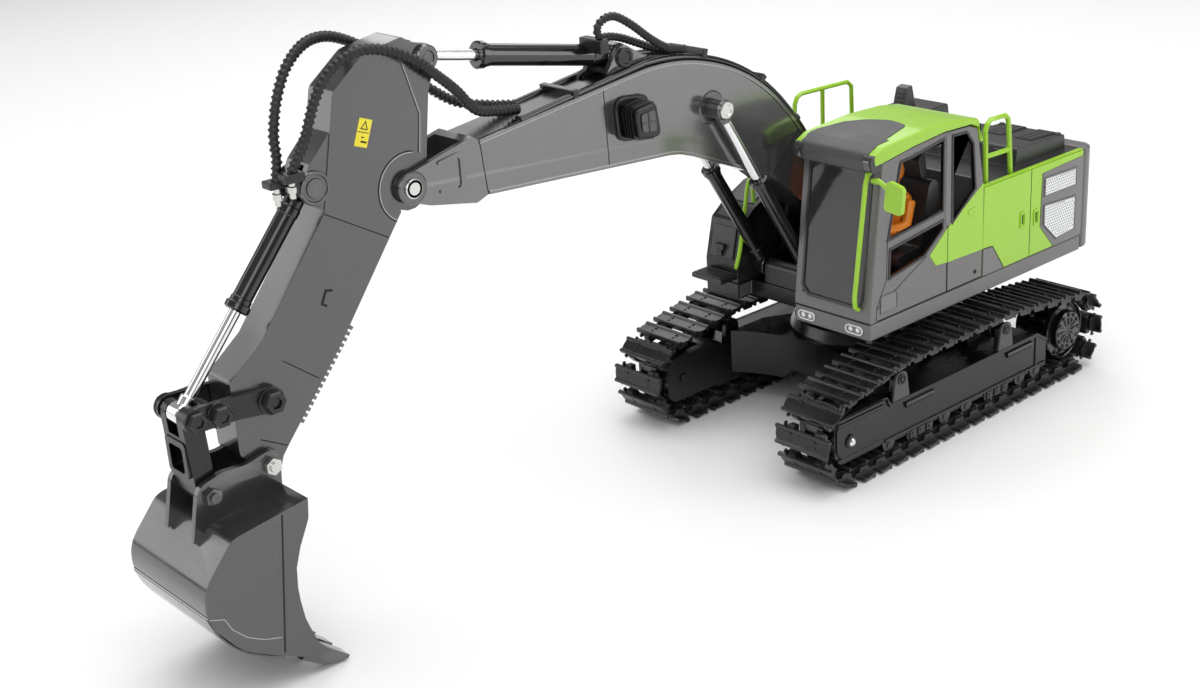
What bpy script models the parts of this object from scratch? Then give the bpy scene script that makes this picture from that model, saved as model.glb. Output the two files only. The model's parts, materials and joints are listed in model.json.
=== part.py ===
"""A radio-controlled toy crawler excavator, modelled piece by piece.

+X points forward (towards the bucket), +Y to the machine's left and +Z up. The
origin is on the ground, below the middle of the whole toy. Lengths in this file
are millimetres, and MM turns them into Blender's metres. X is counted from the
slew axis, and the empty "excavator" moves everything so that the origin fits.
"""

import math

import bmesh
import bpy
from mathutils import Matrix, Vector

MM = 0.001
GAP = 0.3  # between pieces that touch

# Driving dimensions
SLEW_X, SLEW_Y = -169.14, -3.63  # slew axis, counted from the origin
TRACK_Y = 67.5  # middle of a track
SHOE_WIDTH = 40.0
AXLE_X = 106.5  # idler in front, sprocket behind
AXLE_Z = 27.8
PITCH_R = 20.5  # chain pitch line round idler and sprocket
CARRIER_X = (62.0, -38.0)
CARRIER_Z = 49.6
CARRIER_R = 7.0
ROLLER_X = (48.0, -36.0)
ROLLER_Z = 15.3
ROLLER_R = 7.4
SHOE_IN, SHOE_OUT = 0.3, 4.6  # shoe plate, outside the pitch line
WHEEL_R = PITCH_R - 0.4
GROUSER = 2.7
SHOES = 38

DECK_Z = (74.0, 84.0)
LEFT_Y, RIGHT_Y = 70.0, -63.0  # sides of the house
REAR_X = -130.0
CAB_Y = 13.2
CAB_REAR_X = -27.0
SIDE_TOP_Z = 140.0
AIR_BOX_Z = 158.0
WALL = 2.4

BOOM_Y = -11.0
BOOM_HALF = 13.4
ARM_HALF = 10.0
BUCKET_HALF = 34.7
CYLINDER_Y = 19.0  # boom cylinders, each side of the boom

# Pivots of the digging gear, as (x, z)
BOOM_FOOT = (27.0, 131.0)
CYLINDER_FOOT = (56.0, 93.5)
CYLINDER_PIN = (130.0, 212.0)
ARM_PIVOT = (331.5, 215.0)
ARM_CYLINDER_FOOT = (189.0, 250.5)
ARM_CYLINDER_PIN = (315.0, 274.5)
BUCKET_CYLINDER_FOOT = (383.0, 227.0)
ROCKER_PIVOT = (422.0, 135.0)
ROCKER_TIP = (461.0, 138.0)
BUCKET_PIVOT = (427.0, 104.0)
BUCKET_LINK_PIN = (459.0, 100.0)

GREEN = (0.36, 0.66, 0.03)
GREY = (0.11, 0.11, 0.115)
LIGHT_GREY = (0.25, 0.25, 0.255)
BLACK = (0.012, 0.012, 0.013)
ORANGE = (0.9, 0.3, 0.02)
SILVER = (0.75, 0.76, 0.78)


# ---------------------------------------------------------------- helpers
def clear_scene():
    for obj in list(bpy.data.objects):
        bpy.data.objects.remove(obj, do_unlink=True)


def collection(name):
    made = bpy.data.collections.new(name)
    bpy.context.scene.collection.children.link(made)
    return made


def material(name, colour, roughness, metallic=0.0, alpha=1.0):
    made = bpy.data.materials.new(name)
    made.use_nodes = True
    shader = made.node_tree.nodes["Principled BSDF"]
    shader.inputs["Base Color"].default_value = (*colour, 1.0)
    shader.inputs["Roughness"].default_value = roughness
    shader.inputs["Metallic"].default_value = metallic
    shader.inputs["Alpha"].default_value = alpha
    return made


def empty(name, x, y, z, parent=None):
    """An empty on a joint's axis. Its children are modelled in the machine's own coordinates."""
    made = bpy.data.objects.new(name, None)
    made.empty_display_size = 10 * MM
    PARTS.objects.link(made)
    made.parent = parent
    made.matrix_world = ROOT_MATRIX @ Matrix.Translation(Vector((x, y, z)) * MM)
    bpy.context.view_layer.update()
    return made


def keep(name, mesh, finish, parent, smooth=40):
    """Links a mesh, given in machine coordinates, as the object of that name."""
    obj = bpy.data.objects.new(name, mesh)
    PARTS.objects.link(obj)
    if finish:
        mesh.materials.append(finish)
    mesh.shade_smooth()
    mesh.set_sharp_from_angle(angle=math.radians(smooth))
    obj.parent = parent
    if parent:
        obj.matrix_parent_inverse = parent.matrix_world.inverted() @ ROOT_MATRIX
    return obj


def as_tool(obj, target):
    """Makes obj a cutter or joiner of target: not rendered, and kept in its own collection."""
    PARTS.objects.unlink(obj)
    CUTTERS.objects.link(obj)
    obj.parent = target.parent
    obj.matrix_parent_inverse = target.matrix_parent_inverse
    obj.hide_render = True
    obj.display_type = "WIRE"


def boolean(target, tools, operation):
    for tool in tools:
        as_tool(tool, target)
        modifier = target.modifiers.new(operation.title(), "BOOLEAN")
        modifier.operation = operation
        modifier.object = tool
        modifier.use_hole_tolerant = True
    return target


def cut(target, *tools):
    return boolean(target, tools, "DIFFERENCE")


def join(target, *tools):
    return boolean(target, tools, "UNION")


def rounded(corners, step=18.0):
    """An outline's points. A corner (a, b, r) becomes an arc of radius r."""
    points = []
    count = len(corners)
    for i, corner in enumerate(corners):
        here = Vector(corner[:2])
        radius = corner[2] if len(corner) > 2 else 0.0
        if not radius:
            points.append(here)
            continue
        before = (Vector(corners[i - 1][:2]) - here).normalized()
        after = (Vector(corners[(i + 1) % count][:2]) - here).normalized()
        angle = before.angle(after)
        back = radius / math.tan(angle / 2)
        centre = here + (before + after).normalized() * radius / math.sin(angle / 2)
        start, end = here + before * back - centre, here + after * back - centre
        sweep = start.angle_signed(end)
        steps = max(2, math.ceil(abs(math.degrees(sweep)) / step))
        for k in range(steps + 1):
            turn = Matrix.Rotation(-sweep * k / steps, 2)
            points.append(centre + turn @ start)
    return points


def arc(centre, radius, first, last, steps=6):
    """Points of an arc, from angle first to last in degrees."""
    angles = [math.radians(first + (last - first) * k / steps) for k in range(steps + 1)]
    return [(centre[0] + radius * math.cos(a), centre[1] + radius * math.sin(a)) for a in angles]


PLANES = {
    "XZ": Matrix.Rotation(math.radians(90), 4, "X"),
    "XY": Matrix.Identity(4),
    "YZ": Matrix(((0, 0, 1, 0), (1, 0, 0, 0), (0, 1, 0, 0), (0, 0, 0, 1))),
}


def slab_mesh(name, corners, low, high, plane="XZ", holes=()):
    """A flat outline with a thickness, from low to high along the axis across its plane."""
    curve = bpy.data.curves.new(name, "CURVE")
    curve.dimensions = "2D"
    curve.fill_mode = "BOTH"
    curve.extrude = (high - low) / 2 * MM
    for outline in [rounded(corners), *holes]:
        spline = curve.splines.new("POLY")
        spline.points.add(len(outline) - 1)
        for point, (a, b) in zip(spline.points, outline):
            point.co = (a * MM, b * MM, 0, 1)
        spline.use_cyclic_u = True
    mesh = curve_mesh(curve)
    along = {"XZ": (0, 1, 0), "XY": (0, 0, 1), "YZ": (1, 0, 0)}[plane]
    middle = Vector(along) * (low + high) / 2 * MM
    mesh.transform(Matrix.Translation(middle) @ PLANES[plane])
    return mesh


def curve_mesh(curve):
    """The mesh of a curve, with its caps welded to its sides."""
    obj = bpy.data.objects.new(curve.name, curve)
    bpy.context.scene.collection.objects.link(obj)
    graph = bpy.context.evaluated_depsgraph_get()
    mesh = bpy.data.meshes.new_from_object(obj.evaluated_get(graph))
    bpy.data.objects.remove(obj)
    form = bmesh.new()
    form.from_mesh(mesh)
    bmesh.ops.remove_doubles(form, verts=form.verts, dist=0.001 * MM)
    bmesh.ops.recalc_face_normals(form, faces=form.faces)
    form.to_mesh(mesh)
    form.free()
    return mesh


def slab(name, corners, low, high, finish=None, parent=None, plane="XZ", holes=()):
    return keep(name, slab_mesh(name, corners, low, high, plane, holes), finish, parent)


def box(name, low, high, finish=None, parent=None):
    form = bmesh.new()
    bmesh.ops.create_cube(form, size=1.0)
    size = Vector(high) - Vector(low)
    place = Matrix.Translation((Vector(low) + size / 2) * MM) @ Matrix.Diagonal((*(size * MM), 1))
    form.transform(place)
    mesh = bpy.data.meshes.new(name)
    form.to_mesh(mesh)
    form.free()
    return keep(name, mesh, finish, parent)


def towards(start, end):
    """Places local Z on the line from start to end."""
    start = Vector(start)
    turn = (Vector(end) - start).to_track_quat("Z", "Y").to_matrix().to_4x4()
    return Matrix.Translation(start * MM) @ turn


def rod(name, start, end, radius, finish=None, parent=None, sides=16, end_radius=None):
    """A cylinder, or a cone with an end_radius, between two points."""
    length = (Vector(end) - Vector(start)).length
    form = bmesh.new()
    last = radius if end_radius is None else end_radius
    bmesh.ops.create_cone(
        form, cap_ends=True, segments=sides, radius1=radius * MM, radius2=last * MM, depth=length * MM
    )
    form.transform(towards(start, end) @ Matrix.Translation((0, 0, length / 2 * MM)))
    mesh = bpy.data.meshes.new(name)
    form.to_mesh(mesh)
    form.free()
    return keep(name, mesh, finish, parent)


def turned(name, profile, start, end, finish=None, parent=None, sides=20, closed=False):
    """A turned piece: (radius, height) points down its outer side, height counted from start to end."""
    form = bmesh.new()
    verts = [form.verts.new((r * MM, 0, h * MM)) for r, h in profile]
    for a, b in zip(verts, verts[1:]):
        form.edges.new((a, b))
    if closed:
        form.edges.new((verts[-1], verts[0]))
    mesh = bpy.data.meshes.new(name)
    form.to_mesh(mesh)
    form.free()
    obj = bpy.data.objects.new(name, mesh)
    bpy.context.scene.collection.objects.link(obj)
    screw = obj.modifiers.new("Screw", "SCREW")
    screw.steps = screw.render_steps = sides
    screw.use_merge_vertices = True
    screw.merge_threshold = 0.00001
    graph = bpy.context.evaluated_depsgraph_get()
    made = bpy.data.meshes.new_from_object(obj.evaluated_get(graph))
    bpy.data.objects.remove(obj)
    made.transform(towards(start, end))
    return keep(name, made, finish, parent)


def tube(name, points, radius, finish=None, parent=None, resolution=2):
    """A round bar or hose along points."""
    curve = bpy.data.curves.new(name, "CURVE")
    curve.dimensions = "3D"
    curve.bevel_depth = radius * MM
    curve.bevel_resolution = resolution
    curve.use_fill_caps = True
    spline = curve.splines.new("POLY")
    spline.points.add(len(points) - 1)
    for point, place in zip(spline.points, points):
        point.co = (*(Vector(place) * MM), 1)
    return keep(name, curve_mesh(curve), finish, parent)


def smooth_path(points, spacing):
    """Evenly spaced points of a smooth curve through the given ones."""
    places = [Vector(p) for p in points]
    ends = [2 * places[0] - places[1], *places, 2 * places[-1] - places[-2]]
    fine = []
    for i in range(1, len(ends) - 2):
        a, b, c, d = ends[i - 1 : i + 3]
        for k in range(12):
            t = k / 12
            fine.append(
                0.5 * (2 * b + (c - a) * t)
                + 0.5 * ((2 * a - 5 * b + 4 * c - d) * t**2 + (3 * b - a - 3 * c + d) * t**3)
            )
    fine.append(places[-1])
    return even_path(fine, spacing)


def even_path(fine, spacing):
    lengths = [0.0]
    for a, b in zip(fine, fine[1:]):
        lengths.append(lengths[-1] + (b - a).length)
    count = max(2, round(lengths[-1] / spacing))
    out, i = [], 0
    for k in range(count + 1):
        want = lengths[-1] * k / count
        while i < len(fine) - 2 and lengths[i + 1] < want:
            i += 1
        part = (want - lengths[i]) / max(lengths[i + 1] - lengths[i], 1e-9)
        out.append(fine[i].lerp(fine[i + 1], part))
    return out


def at(point, y):
    return (point[0], y, point[1])


def across(name, point, half, radius, finish=None, parent=None, middle=BOOM_Y, sides=16):
    """A cylinder along Y through an (x, z) point."""
    return rod(name, at(point, middle - half), at(point, middle + half), radius, finish, parent, sides)


def unit(start, end):
    return (Vector(end) - Vector(start)).normalized()


def along(start, end, distance):
    """The (x, z) point that lies this far from start towards end."""
    return tuple(Vector(start) + unit(start, end) * distance)


# ---------------------------------------------------------------- undercarriage
def belt_line(offset, samples):
    """Evenly spaced points along the pitch line, each then moved out along its normal."""
    wheels = [
        (Vector((AXLE_X, AXLE_Z)), PITCH_R),
        (Vector((CARRIER_X[0], CARRIER_Z)), CARRIER_R + GAP),
        (Vector((CARRIER_X[1], CARRIER_Z)), CARRIER_R + GAP),
        (Vector((-AXLE_X, AXLE_Z)), PITCH_R),
    ]
    loop = []
    for i, (centre, radius) in enumerate(wheels):
        first = tangent_angle(wheels[i - 1], (centre, radius))
        final = tangent_angle((centre, radius), wheels[(i + 1) % len(wheels)])
        sweep = (final - first) % math.tau
        for k in range(25):
            a = first + sweep * k / 24
            loop.append(centre + Vector((math.cos(a), math.sin(a))) * radius)
    loop.append(loop[0])
    points = even_path(loop, loop_length(loop) / samples)[:-1]
    out = []
    for i, point in enumerate(points):
        ahead = (points[(i + 1) % samples] - points[i - 1]).normalized()
        out.append(point + Vector((ahead.y, -ahead.x)) * offset)
    return out


def tangent_angle(a, b):
    """The direction, from both centres, of the points where the belt touches two wheels."""
    (p, r), (q, s) = a, b
    gap = q - p
    return math.atan2(gap.y, gap.x) - math.pi / 2 + math.asin((s - r) / gap.length) * -1


def loop_length(points):
    return sum((b - a).length for a, b in zip(points, points[1:]))


def track_belt(name, side):
    """The shoes as one toothed band: two outer points to each inner one."""
    tips = belt_line(SHOE_OUT + GROUSER, SHOES * 4)
    roots = belt_line(SHOE_OUT, SHOES * 4)
    outer = [tips[i] if i % 4 in (1, 2) else roots[i] for i in range(SHOES * 4)]
    inner = belt_line(SHOE_IN, SHOES * 4)[::2]
    form = bmesh.new()
    rings = []
    for y in (side * TRACK_Y - SHOE_WIDTH / 2, side * TRACK_Y + SHOE_WIDTH / 2):
        for line in (outer, inner):
            rings.append([form.verts.new(Vector(at(p, y)) * MM) for p in line])
    near_out, near_in, far_out, far_in = rings
    for k in range(SHOES * 2):
        a, b, c = 2 * k, 2 * k + 1, (2 * k + 2) % (SHOES * 4)
        d = (k + 1) % (SHOES * 2)
        for rim, hub in ((near_out, near_in), (far_out, far_in)):
            form.faces.new((hub[k], rim[a], rim[b]))
            form.faces.new((hub[k], rim[b], hub[d]))
            form.faces.new((hub[d], rim[b], rim[c]))
        form.faces.new((near_out[a], near_out[b], far_out[b], far_out[a]))
        form.faces.new((near_out[b], near_out[c], far_out[c], far_out[b]))
        form.faces.new((near_in[k], near_in[d], far_in[d], far_in[k]))
    bmesh.ops.recalc_face_normals(form, faces=form.faces)
    mesh = bpy.data.meshes.new(name)
    form.to_mesh(mesh)
    form.free()
    return keep(name, mesh, BLACK_RUBBER, UNDER)


def track_frame(name, side):
    """The box between the runs, with its roller channel, idler fork and carrier brackets."""
    y = [side * v for v in (54.0, 80.0)]
    low, high = min(y), max(y)
    idler = (AXLE_X, AXLE_Z)
    tip = idler[0] + 13
    beam = [
        (-82, 12), (76, 12), (79, 13.5), (tip, 13.5, 8), (tip, 42, 8),
        (74, 42, 2), (70, 37), (-70, 37), (-82, 30),
    ]
    frame = slab(name, beam, low, high, BLACK_PLASTIC, UNDER)
    middle = side * TRACK_Y
    cut(frame, box(name + "_channel", (-90, middle - 7, 0), (80, middle + 7, ROLLER_Z + ROLLER_R + 1)))
    cut(frame, box(name + "_fork_gap", (idler[0] - 21, middle - 7.2, -1), (idler[0] + 20, middle + 7.2, 60)))
    cut(frame, rod(name + "_axle", at(idler, low - 1), at(idler, high + 1), 3.0))
    for i, x in enumerate(CARRIER_X):
        plate = [(x - 8, 30), (x + 8, 30), (x + 5, 53, 4), (x - 5, 53, 4)]
        for j, edge in enumerate((79.6, 57.4)):
            y0, y1 = sorted((side * edge, side * (edge - 3)))
            join(frame, slab(f"{name}_bracket{i}{j}", plate, y0, y1))
        cut(frame, rod(f"{name}_pin{i}", (x, low - 1, CARRIER_Z), (x, high + 1, CARRIER_Z), 1.5, sides=10))
    return frame


def sprocket(name, side, parent):
    """The toothed wheel, its outer flange and the drive cap."""
    middle = side * TRACK_Y
    out = 1 if side > 0 else -1
    teeth = []
    count, tip, root = 14, WHEEL_R, WHEEL_R - 2.9
    for k in range(count * 4):
        a = math.tau * k / (count * 4)
        radius = tip if k % 4 in (0, 1) else root
        teeth.append((-AXLE_X + radius * math.cos(a), AXLE_Z + radius * math.sin(a)))
    wheel = slab(name, teeth, middle - 5.5, middle + 5.5, BLACK_PLASTIC, parent)
    centre = (-AXLE_X, AXLE_Z)
    flange = [(0, 12.5), (8.2, 12.5), (8.8, 12), (8.8, 9), (15.5, 6.8), (18.5, 6.8), (18.5, 5), (0, 5)]
    cap = turned(
        name + "_cap", [(r, h - 0.2) for r, h in flange], at(centre, middle), at(centre, middle + out),
        sides=24,
    )
    return join(wheel, cap)


def idler_wheel(name, side, parent):
    middle = side * TRACK_Y
    radius = WHEEL_R
    profile = [(0, 6.4), (radius - 2, 6.4), (radius, 4.4), (radius, -4.4), (radius - 2, -6.4), (0, -6.4)]
    centre = (AXLE_X, AXLE_Z)
    wheel = turned(name, profile, at(centre, middle), at(centre, middle + 1), BLACK_PLASTIC, parent, 28)
    axle = rod(name + "_axle", at(centre, middle - 14.5), at(centre, middle + 14.5), 2.6)
    return join(wheel, axle)


def roller(name, x, z, radius, side, parent, axle=0.0):
    middle = side * TRACK_Y
    wheel = rod(name, (x, middle - 6.6, z), (x, middle + 6.6, z), radius, BLACK_PLASTIC, parent, 18)
    if axle:
        join(wheel, rod(name + "_axle", (x, middle - axle, z), (x, middle + axle, z), 1.2, sides=8))
    return wheel


def chassis():
    """The X-shaped frame that carries both tracks and the turntable."""
    reach, front, bow = 53.6, 47.0, 93.0
    sweep = math.degrees(math.asin(reach / bow))
    bay = [(34, reach), (9, 40, 6), (-9, 40, 6), (-34, reach)]
    plan = [
        *arc((front + bow, 0), bow, 180 + sweep, 180 - sweep, 6), *bay,
        *arc((-front - bow, 0), bow, sweep, -sweep, 6), *[(-x, -y, *r) for x, y, *r in bay],
    ]
    frame = slab("chassis_frame", plan, 18, 46, BLACK_PLASTIC, UNDER, "XY")
    dome = turned(
        "chassis_dome", [(0, 57), (39, 57), (42.5, 54), (45.6, 48), (45.6, 20), (0, 20)],
        (0, 0, 0), (0, 0, 1),
        sides=32,
    )
    join(frame, dome)
    arch = [(-26, 10), (26, 10), (18, 24, 6), (-18, 24, 6)]
    cut(frame, slab("chassis_arch", arch, -80, 80, plane="YZ"))
    return frame


def drive_motor(name, side):
    centre = (-AXLE_X, AXLE_Z)
    inner, outer = side * 48.0, side * (TRACK_Y - 6.6)
    can = rod(name, at(centre, inner), at(centre, outer), 12.0, BLACK_PLASTIC, UNDER, 20)
    y0, y1 = sorted((side * 54.5, side * 60.0))
    return join(can, box(name + "_bracket", (-AXLE_X, y0, 17), (-82.4, y1, 29)))


def undercarriage():
    chassis()
    for side, word in ((1, "left"), (-1, "right")):
        y = side * TRACK_Y
        track_frame(f"track_frame_{word}", side)
        track_belt(f"track_belt_{word}", side)
        drive_motor(f"drive_motor_{word}", side)
        sprocket(f"sprocket_{word}", side, empty(f"{word}_sprocket_axis", -AXLE_X, y, AXLE_Z, UNDER))
        idler_wheel(f"idler_{word}", side, empty(f"{word}_idler_axis", AXLE_X, y, AXLE_Z, UNDER))
        for spot, x in zip(("front", "rear"), ROLLER_X):
            axis = empty(f"{word}_{spot}_roller_axis", x, y, ROLLER_Z, UNDER)
            roller(f"bottom_roller_{word}_{spot}", x, ROLLER_Z, ROLLER_R, side, axis)
        for spot, x in zip(("front", "rear"), CARRIER_X):
            axis = empty(f"{word}_{spot}_carrier_axis", x, y, CARRIER_Z, UNDER)
            roller(f"carrier_roller_{word}_{spot}", x, CARRIER_Z, CARRIER_R, side, axis, 12.4)
    turned(
        "turntable_ring",
        [(38, DECK_Z[0] - GAP), (38, 66), (34, 64), (34, 57 + GAP), (22, 57 + GAP), (22, DECK_Z[0] - GAP)],
        (0, 0, 0), (0, 0, 1), BLACK_PLASTIC, UNDER, 28, True,
    )


# ---------------------------------------------------------------- house
CAB_SIDE = [
    (CAB_REAR_X, DECK_Z[1] + GAP), (77, DECK_Z[1] + GAP), (77, 89), (66.5, 176.5), (40, 180), (12, 182.2),
    (-12, 181), (-19.5, 178), (CAB_REAR_X, SIDE_TOP_Z),
]
FRONT_WINDOW = [(41, 174.6), (50.5, 174), (61.5, 131), (12, 136), (12, 178.6)]
LOW_WINDOW = [(59.5, 125), (60.5, 108, 2), (29, 113), (12, 125), (12, 130)]
REAR_WINDOW = [(4, 178.6), (-9, 178), (-15.5, 170), (-18.5, 142), (3, 126.5)]


def house_deck():
    plan = [
        (REAR_X, LEFT_Y), (77, LEFT_Y), (77, CAB_Y), (62, CAB_Y), (62, -36), (74, -36), (74, RIGHT_Y),
        (REAR_X, RIGHT_Y),
    ]
    return slab("house_deck", plan, *DECK_Z, GREY_PLASTIC, HOUSE, "XY")


def boom_bracket():
    """Two side plates that hold the boom's foot pin, and the block for the boom cylinders' pin."""
    z = DECK_Z[1] + GAP
    inner, outer = BOOM_HALF + 0.5, BOOM_HALF + 3.3
    shape = [
        (2, z + 0.5), (46, z + 0.5), (46, 100, 4), (38, 134, 8), (BOOM_FOOT[0], 145, 6), (14, 134, 8),
        (2, 100, 4),
    ]
    low, high = (1.6, BOOM_Y - outer - 0.4, z), (46.5, BOOM_Y + outer + 0.4, z + 3)
    bracket = box("boom_bracket", low, high, BLACK_PLASTIC, HOUSE)
    for i, sign in enumerate((1, -1)):
        y0, y1 = sorted((BOOM_Y + sign * inner, BOOM_Y + sign * outer))
        join(bracket, slab(f"bracket_plate{i}", shape, y0, y1))
    join(bracket, across("bracket_foot_pin", BOOM_FOOT, outer + 1.5, 3.5))
    foot = [(45, z), (61.5, z), (61.5, 96, 4), (56, 100, 5), (50.5, 96, 4), (45, 90)]
    join(bracket, slab("bracket_cylinder_block", foot, BOOM_Y - 14.2, BOOM_Y + 14.2))
    join(bracket, across("bracket_cylinder_pin", CYLINDER_FOOT, CYLINDER_Y + 4.6, 2.2))
    return bracket


def cab():
    """The cab shell, hollow and open at the windows, the door line and the floor."""
    shell = slab("cab_shell", CAB_SIDE, CAB_Y, LEFT_Y, GREY_PLASTIC, HOUSE)
    inside = [
        (CAB_REAR_X + WALL, DECK_Z[1] - 5), (77 - WALL, DECK_Z[1] - 5), (77 - WALL, 89.2), (64.4, 174),
        (40, 177.4), (12, 179.6), (-12, 178.4), (-17.4, 176), (CAB_REAR_X + WALL, SIDE_TOP_Z),
    ]
    cut(shell, slab("cab_inside", inside, CAB_Y + WALL, LEFT_Y - WALL))
    for name, outline in (("front", FRONT_WINDOW), ("low", LOW_WINDOW), ("rear", REAR_WINDOW)):
        cut(shell, slab(f"cab_window_{name}", outline, LEFT_Y - 8, LEFT_Y + 8))
    right_window = [(50, 174), (60, 128), (0, 128), (-14, 145), (-12, 174)]
    cut(shell, slab("cab_window_right", right_window, CAB_Y - 8, CAB_Y + 8))
    screen = [(CAB_Y + 5.5, 93), (LEFT_Y - 6.5, 93), (LEFT_Y - 6.5, 171), (CAB_Y + 5.5, 171)]
    cut(shell, slab("cab_screen_opening", screen, 50, 90, plane="YZ"))
    back = [(CAB_Y + 7, 146), (LEFT_Y - 7, 146), (LEFT_Y - 7, 172), (CAB_Y + 7, 172)]
    cut(shell, slab("cab_back_window", back, -40, -10, plane="YZ"))
    return shell


def cab_roof():
    profile = [
        (73.5, 176.4), (74.5, 182.3, 2), (66, 186.3, 8), (30, 188.4, 60), (0, 187.4, 40), (-19.5, 184.4, 5),
        (-24.6, 169.5), (-21.7, 169.5), (-20.2, 178.8), (-12.2, 181.8),
        (12, 182.7), (40, 180.5), (67, 176.9),
    ]
    return slab("cab_roof", profile, CAB_Y - 0.6, LEFT_Y + 0.8, GREEN_PLASTIC, HOUSE)


def windshield():
    """The tinted front screen, in its opening."""
    lean = (77 - 66.5) / (176.5 - 89)
    low, high = 93 + GAP, 171 - GAP

    def front(z):
        return 77 - (z - 89) * lean - 0.4

    profile = [(front(low) - 1.2, low), (front(low), low), (front(high), high), (front(high) - 1.2, high)]
    return slab("windshield", profile, CAB_Y + 5.5 + GAP, LEFT_Y - 6.5 - GAP, GLASS, HOUSE)


def seat():
    floor = DECK_Z[1] + GAP
    profile = [
        (0, 106), (20, 104), (38, 104, 3), (38, 111, 3), (16, 112, 3),
        (8, 150, 4), (0, 150, 4), (-4, 108, 4),
    ]
    chair = slab("seat", profile, 27, 57, DARK_PLASTIC, HOUSE)
    join(chair, box("seat_base", (4, 31, floor), (30, 53, 107)))
    head_rest = [(5, 149), (9, 163, 3), (2, 165, 3), (0, 148)]
    return join(chair, slab("seat_head_rest", head_rest, 35, 49))


def ball(name, centre, radii):
    form = bmesh.new()
    bmesh.ops.create_uvsphere(form, u_segments=10, v_segments=6, radius=MM)
    form.transform(Matrix.Translation(Vector(centre) * MM) @ Matrix.Diagonal((*radii, 1)))
    mesh = bpy.data.meshes.new(name)
    form.to_mesh(mesh)
    form.free()
    return keep(name, mesh, None, None)


def driver():
    """A plain orange figure, sitting with both hands forward."""
    y = 42.0
    body = rod("driver", (27, y, 115.4), (20, y, 141), 7.4, ORANGE_PLASTIC, HOUSE, 10, 8.0)
    join(body, ball("driver_shoulders", (20, y, 141.3), (6.2, 11.5, 5)))
    join(body, ball("driver_head", (22.5, y, 158), (7, 6.4, 8)))
    join(body, rod("driver_neck", (21, y, 143), (22, y, 153), 3.2, sides=8))
    for i, sign in enumerate((1, -1)):
        shoulder = (20, y + sign * 10.5, 141)
        elbow = (26, y + sign * 12.5, 127.3)
        hand = (43, y + sign * 8, 127)
        hip, knee, foot = (24, y + sign * 4.6, 117.2), (43, y + sign * 6, 116.4), (49, y + sign * 6, 95)
        join(
            body,
            rod(f"driver_upper_arm{i}", shoulder, elbow, 3.6, sides=7, end_radius=3.0),
            rod(f"driver_forearm{i}", elbow, hand, 3.3, sides=7, end_radius=2.6),
            rod(f"driver_thigh{i}", hip, knee, 3.9, sides=7, end_radius=3.6),
            rod(f"driver_shin{i}", (knee[0], knee[1], knee[2] + 3), foot, 3.6, sides=7, end_radius=3.2),
        )
    return body


def side_panel_left():
    """The engine bay's left cover, with two openings for the grilles."""
    z = DECK_Z[1] + GAP
    rear, front = REAR_X + GAP, CAB_REAR_X - GAP
    outline = [(rear, z), (front, z), (front, SIDE_TOP_Z), (rear, SIDE_TOP_Z)]
    return slab("left_side_panel", outline, LEFT_Y - 4, LEFT_Y, GREEN_PLASTIC, HOUSE)


def side_panel_right():
    z = DECK_Z[1] + GAP
    outline = [(REAR_X + GAP, z), (30, z), (30, SIDE_TOP_Z), (REAR_X + GAP, SIDE_TOP_Z)]
    return slab("right_side_panel", outline, RIGHT_Y, RIGHT_Y + 4, GREEN_PLASTIC, HOUSE)


def engine_hood():
    """The top cover over the engine bay, with its raised lid and the walls beside the boom."""
    top, low = SIDE_TOP_Z, DECK_Z[1] + GAP
    left, right = LEFT_Y - 4 - GAP, RIGHT_Y + 4 + GAP
    plan = [
        (REAR_X + GAP, left), (CAB_REAR_X - GAP, left), (CAB_REAR_X - GAP, CAB_Y - GAP), (0, CAB_Y - GAP),
        (0, -38), (30, -38), (30, right), (REAR_X + GAP, right),
    ]
    hood = slab("engine_hood", plan, top - 3.5, top, DARK_PLASTIC, HOUSE, "XY")
    lid = [(-124, top - 1), (-72, top - 1), (-73, 152, 1.5), (-123, 150, 1.5)]
    join(hood, slab("hood_lid", lid, 12, 60))
    middle_lid = [(-124, top - 1), (-66, top - 1), (-66, 147, 1.5), (-124, 147, 1.5)]
    join(hood, slab("hood_middle_lid", middle_lid, -24, 11))
    join(
        hood,
        box("hood_front_wall", (-3, -38, low), (0, CAB_Y - GAP, top - 1)),
        box("hood_side_wall", (-1, -38, low), (30, -35.6, top - 1)),
        box("hood_bay_wall", (CAB_REAR_X - 3, CAB_Y - 4, low), (0, CAB_Y - GAP, top - 1)),
    )
    return hood


def air_box():
    """The taller box on the machine's right, behind the boom."""
    z = SIDE_TOP_Z + GAP
    profile = [(-122, z), (-66, z), (-69, 156, 2), (-80, AIR_BOX_Z, 2), (-119, AIR_BOX_Z, 2)]
    return slab("air_cleaner_box", profile, -58, -27, DARK_PLASTIC, HOUSE)


def exhaust_stack():
    z = AIR_BOX_Z + GAP
    profile = [(-98, z), (-84, z), (-88, 172.6, 1.5), (-94, 174, 1.5)]
    return slab("exhaust_stack", profile, -46, -37, DARK_PLASTIC, HOUSE)


def counterweight():
    z0, z1 = DECK_Z[0] + 0.5, SIDE_TOP_Z + 1
    radius = 9.0
    plan = [(REAR_X - 1, LEFT_Y), (REAR_X - 1, RIGHT_Y), (-143, RIGHT_Y, radius), (-143, LEFT_Y, radius)]
    return slab("counterweight", plan, z0, z1, GREY_PLASTIC, HOUSE, "XY")


def toolbox():
    """The stepped box ahead of the right side, with its tread."""
    z = DECK_Z[1] + GAP
    profile = [(30.4, z), (74, z), (74, 96), (68, 121, 2), (58, 128.5, 2), (39, 137.5, 2), (30.4, 139)]
    chest = slab("toolbox", profile, RIGHT_Y, -36.2, GREY_PLASTIC, HOUSE)
    return join(chest, box("toolbox_step", (73, RIGHT_Y + 1, 87), (88, -37, 90)))


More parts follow.
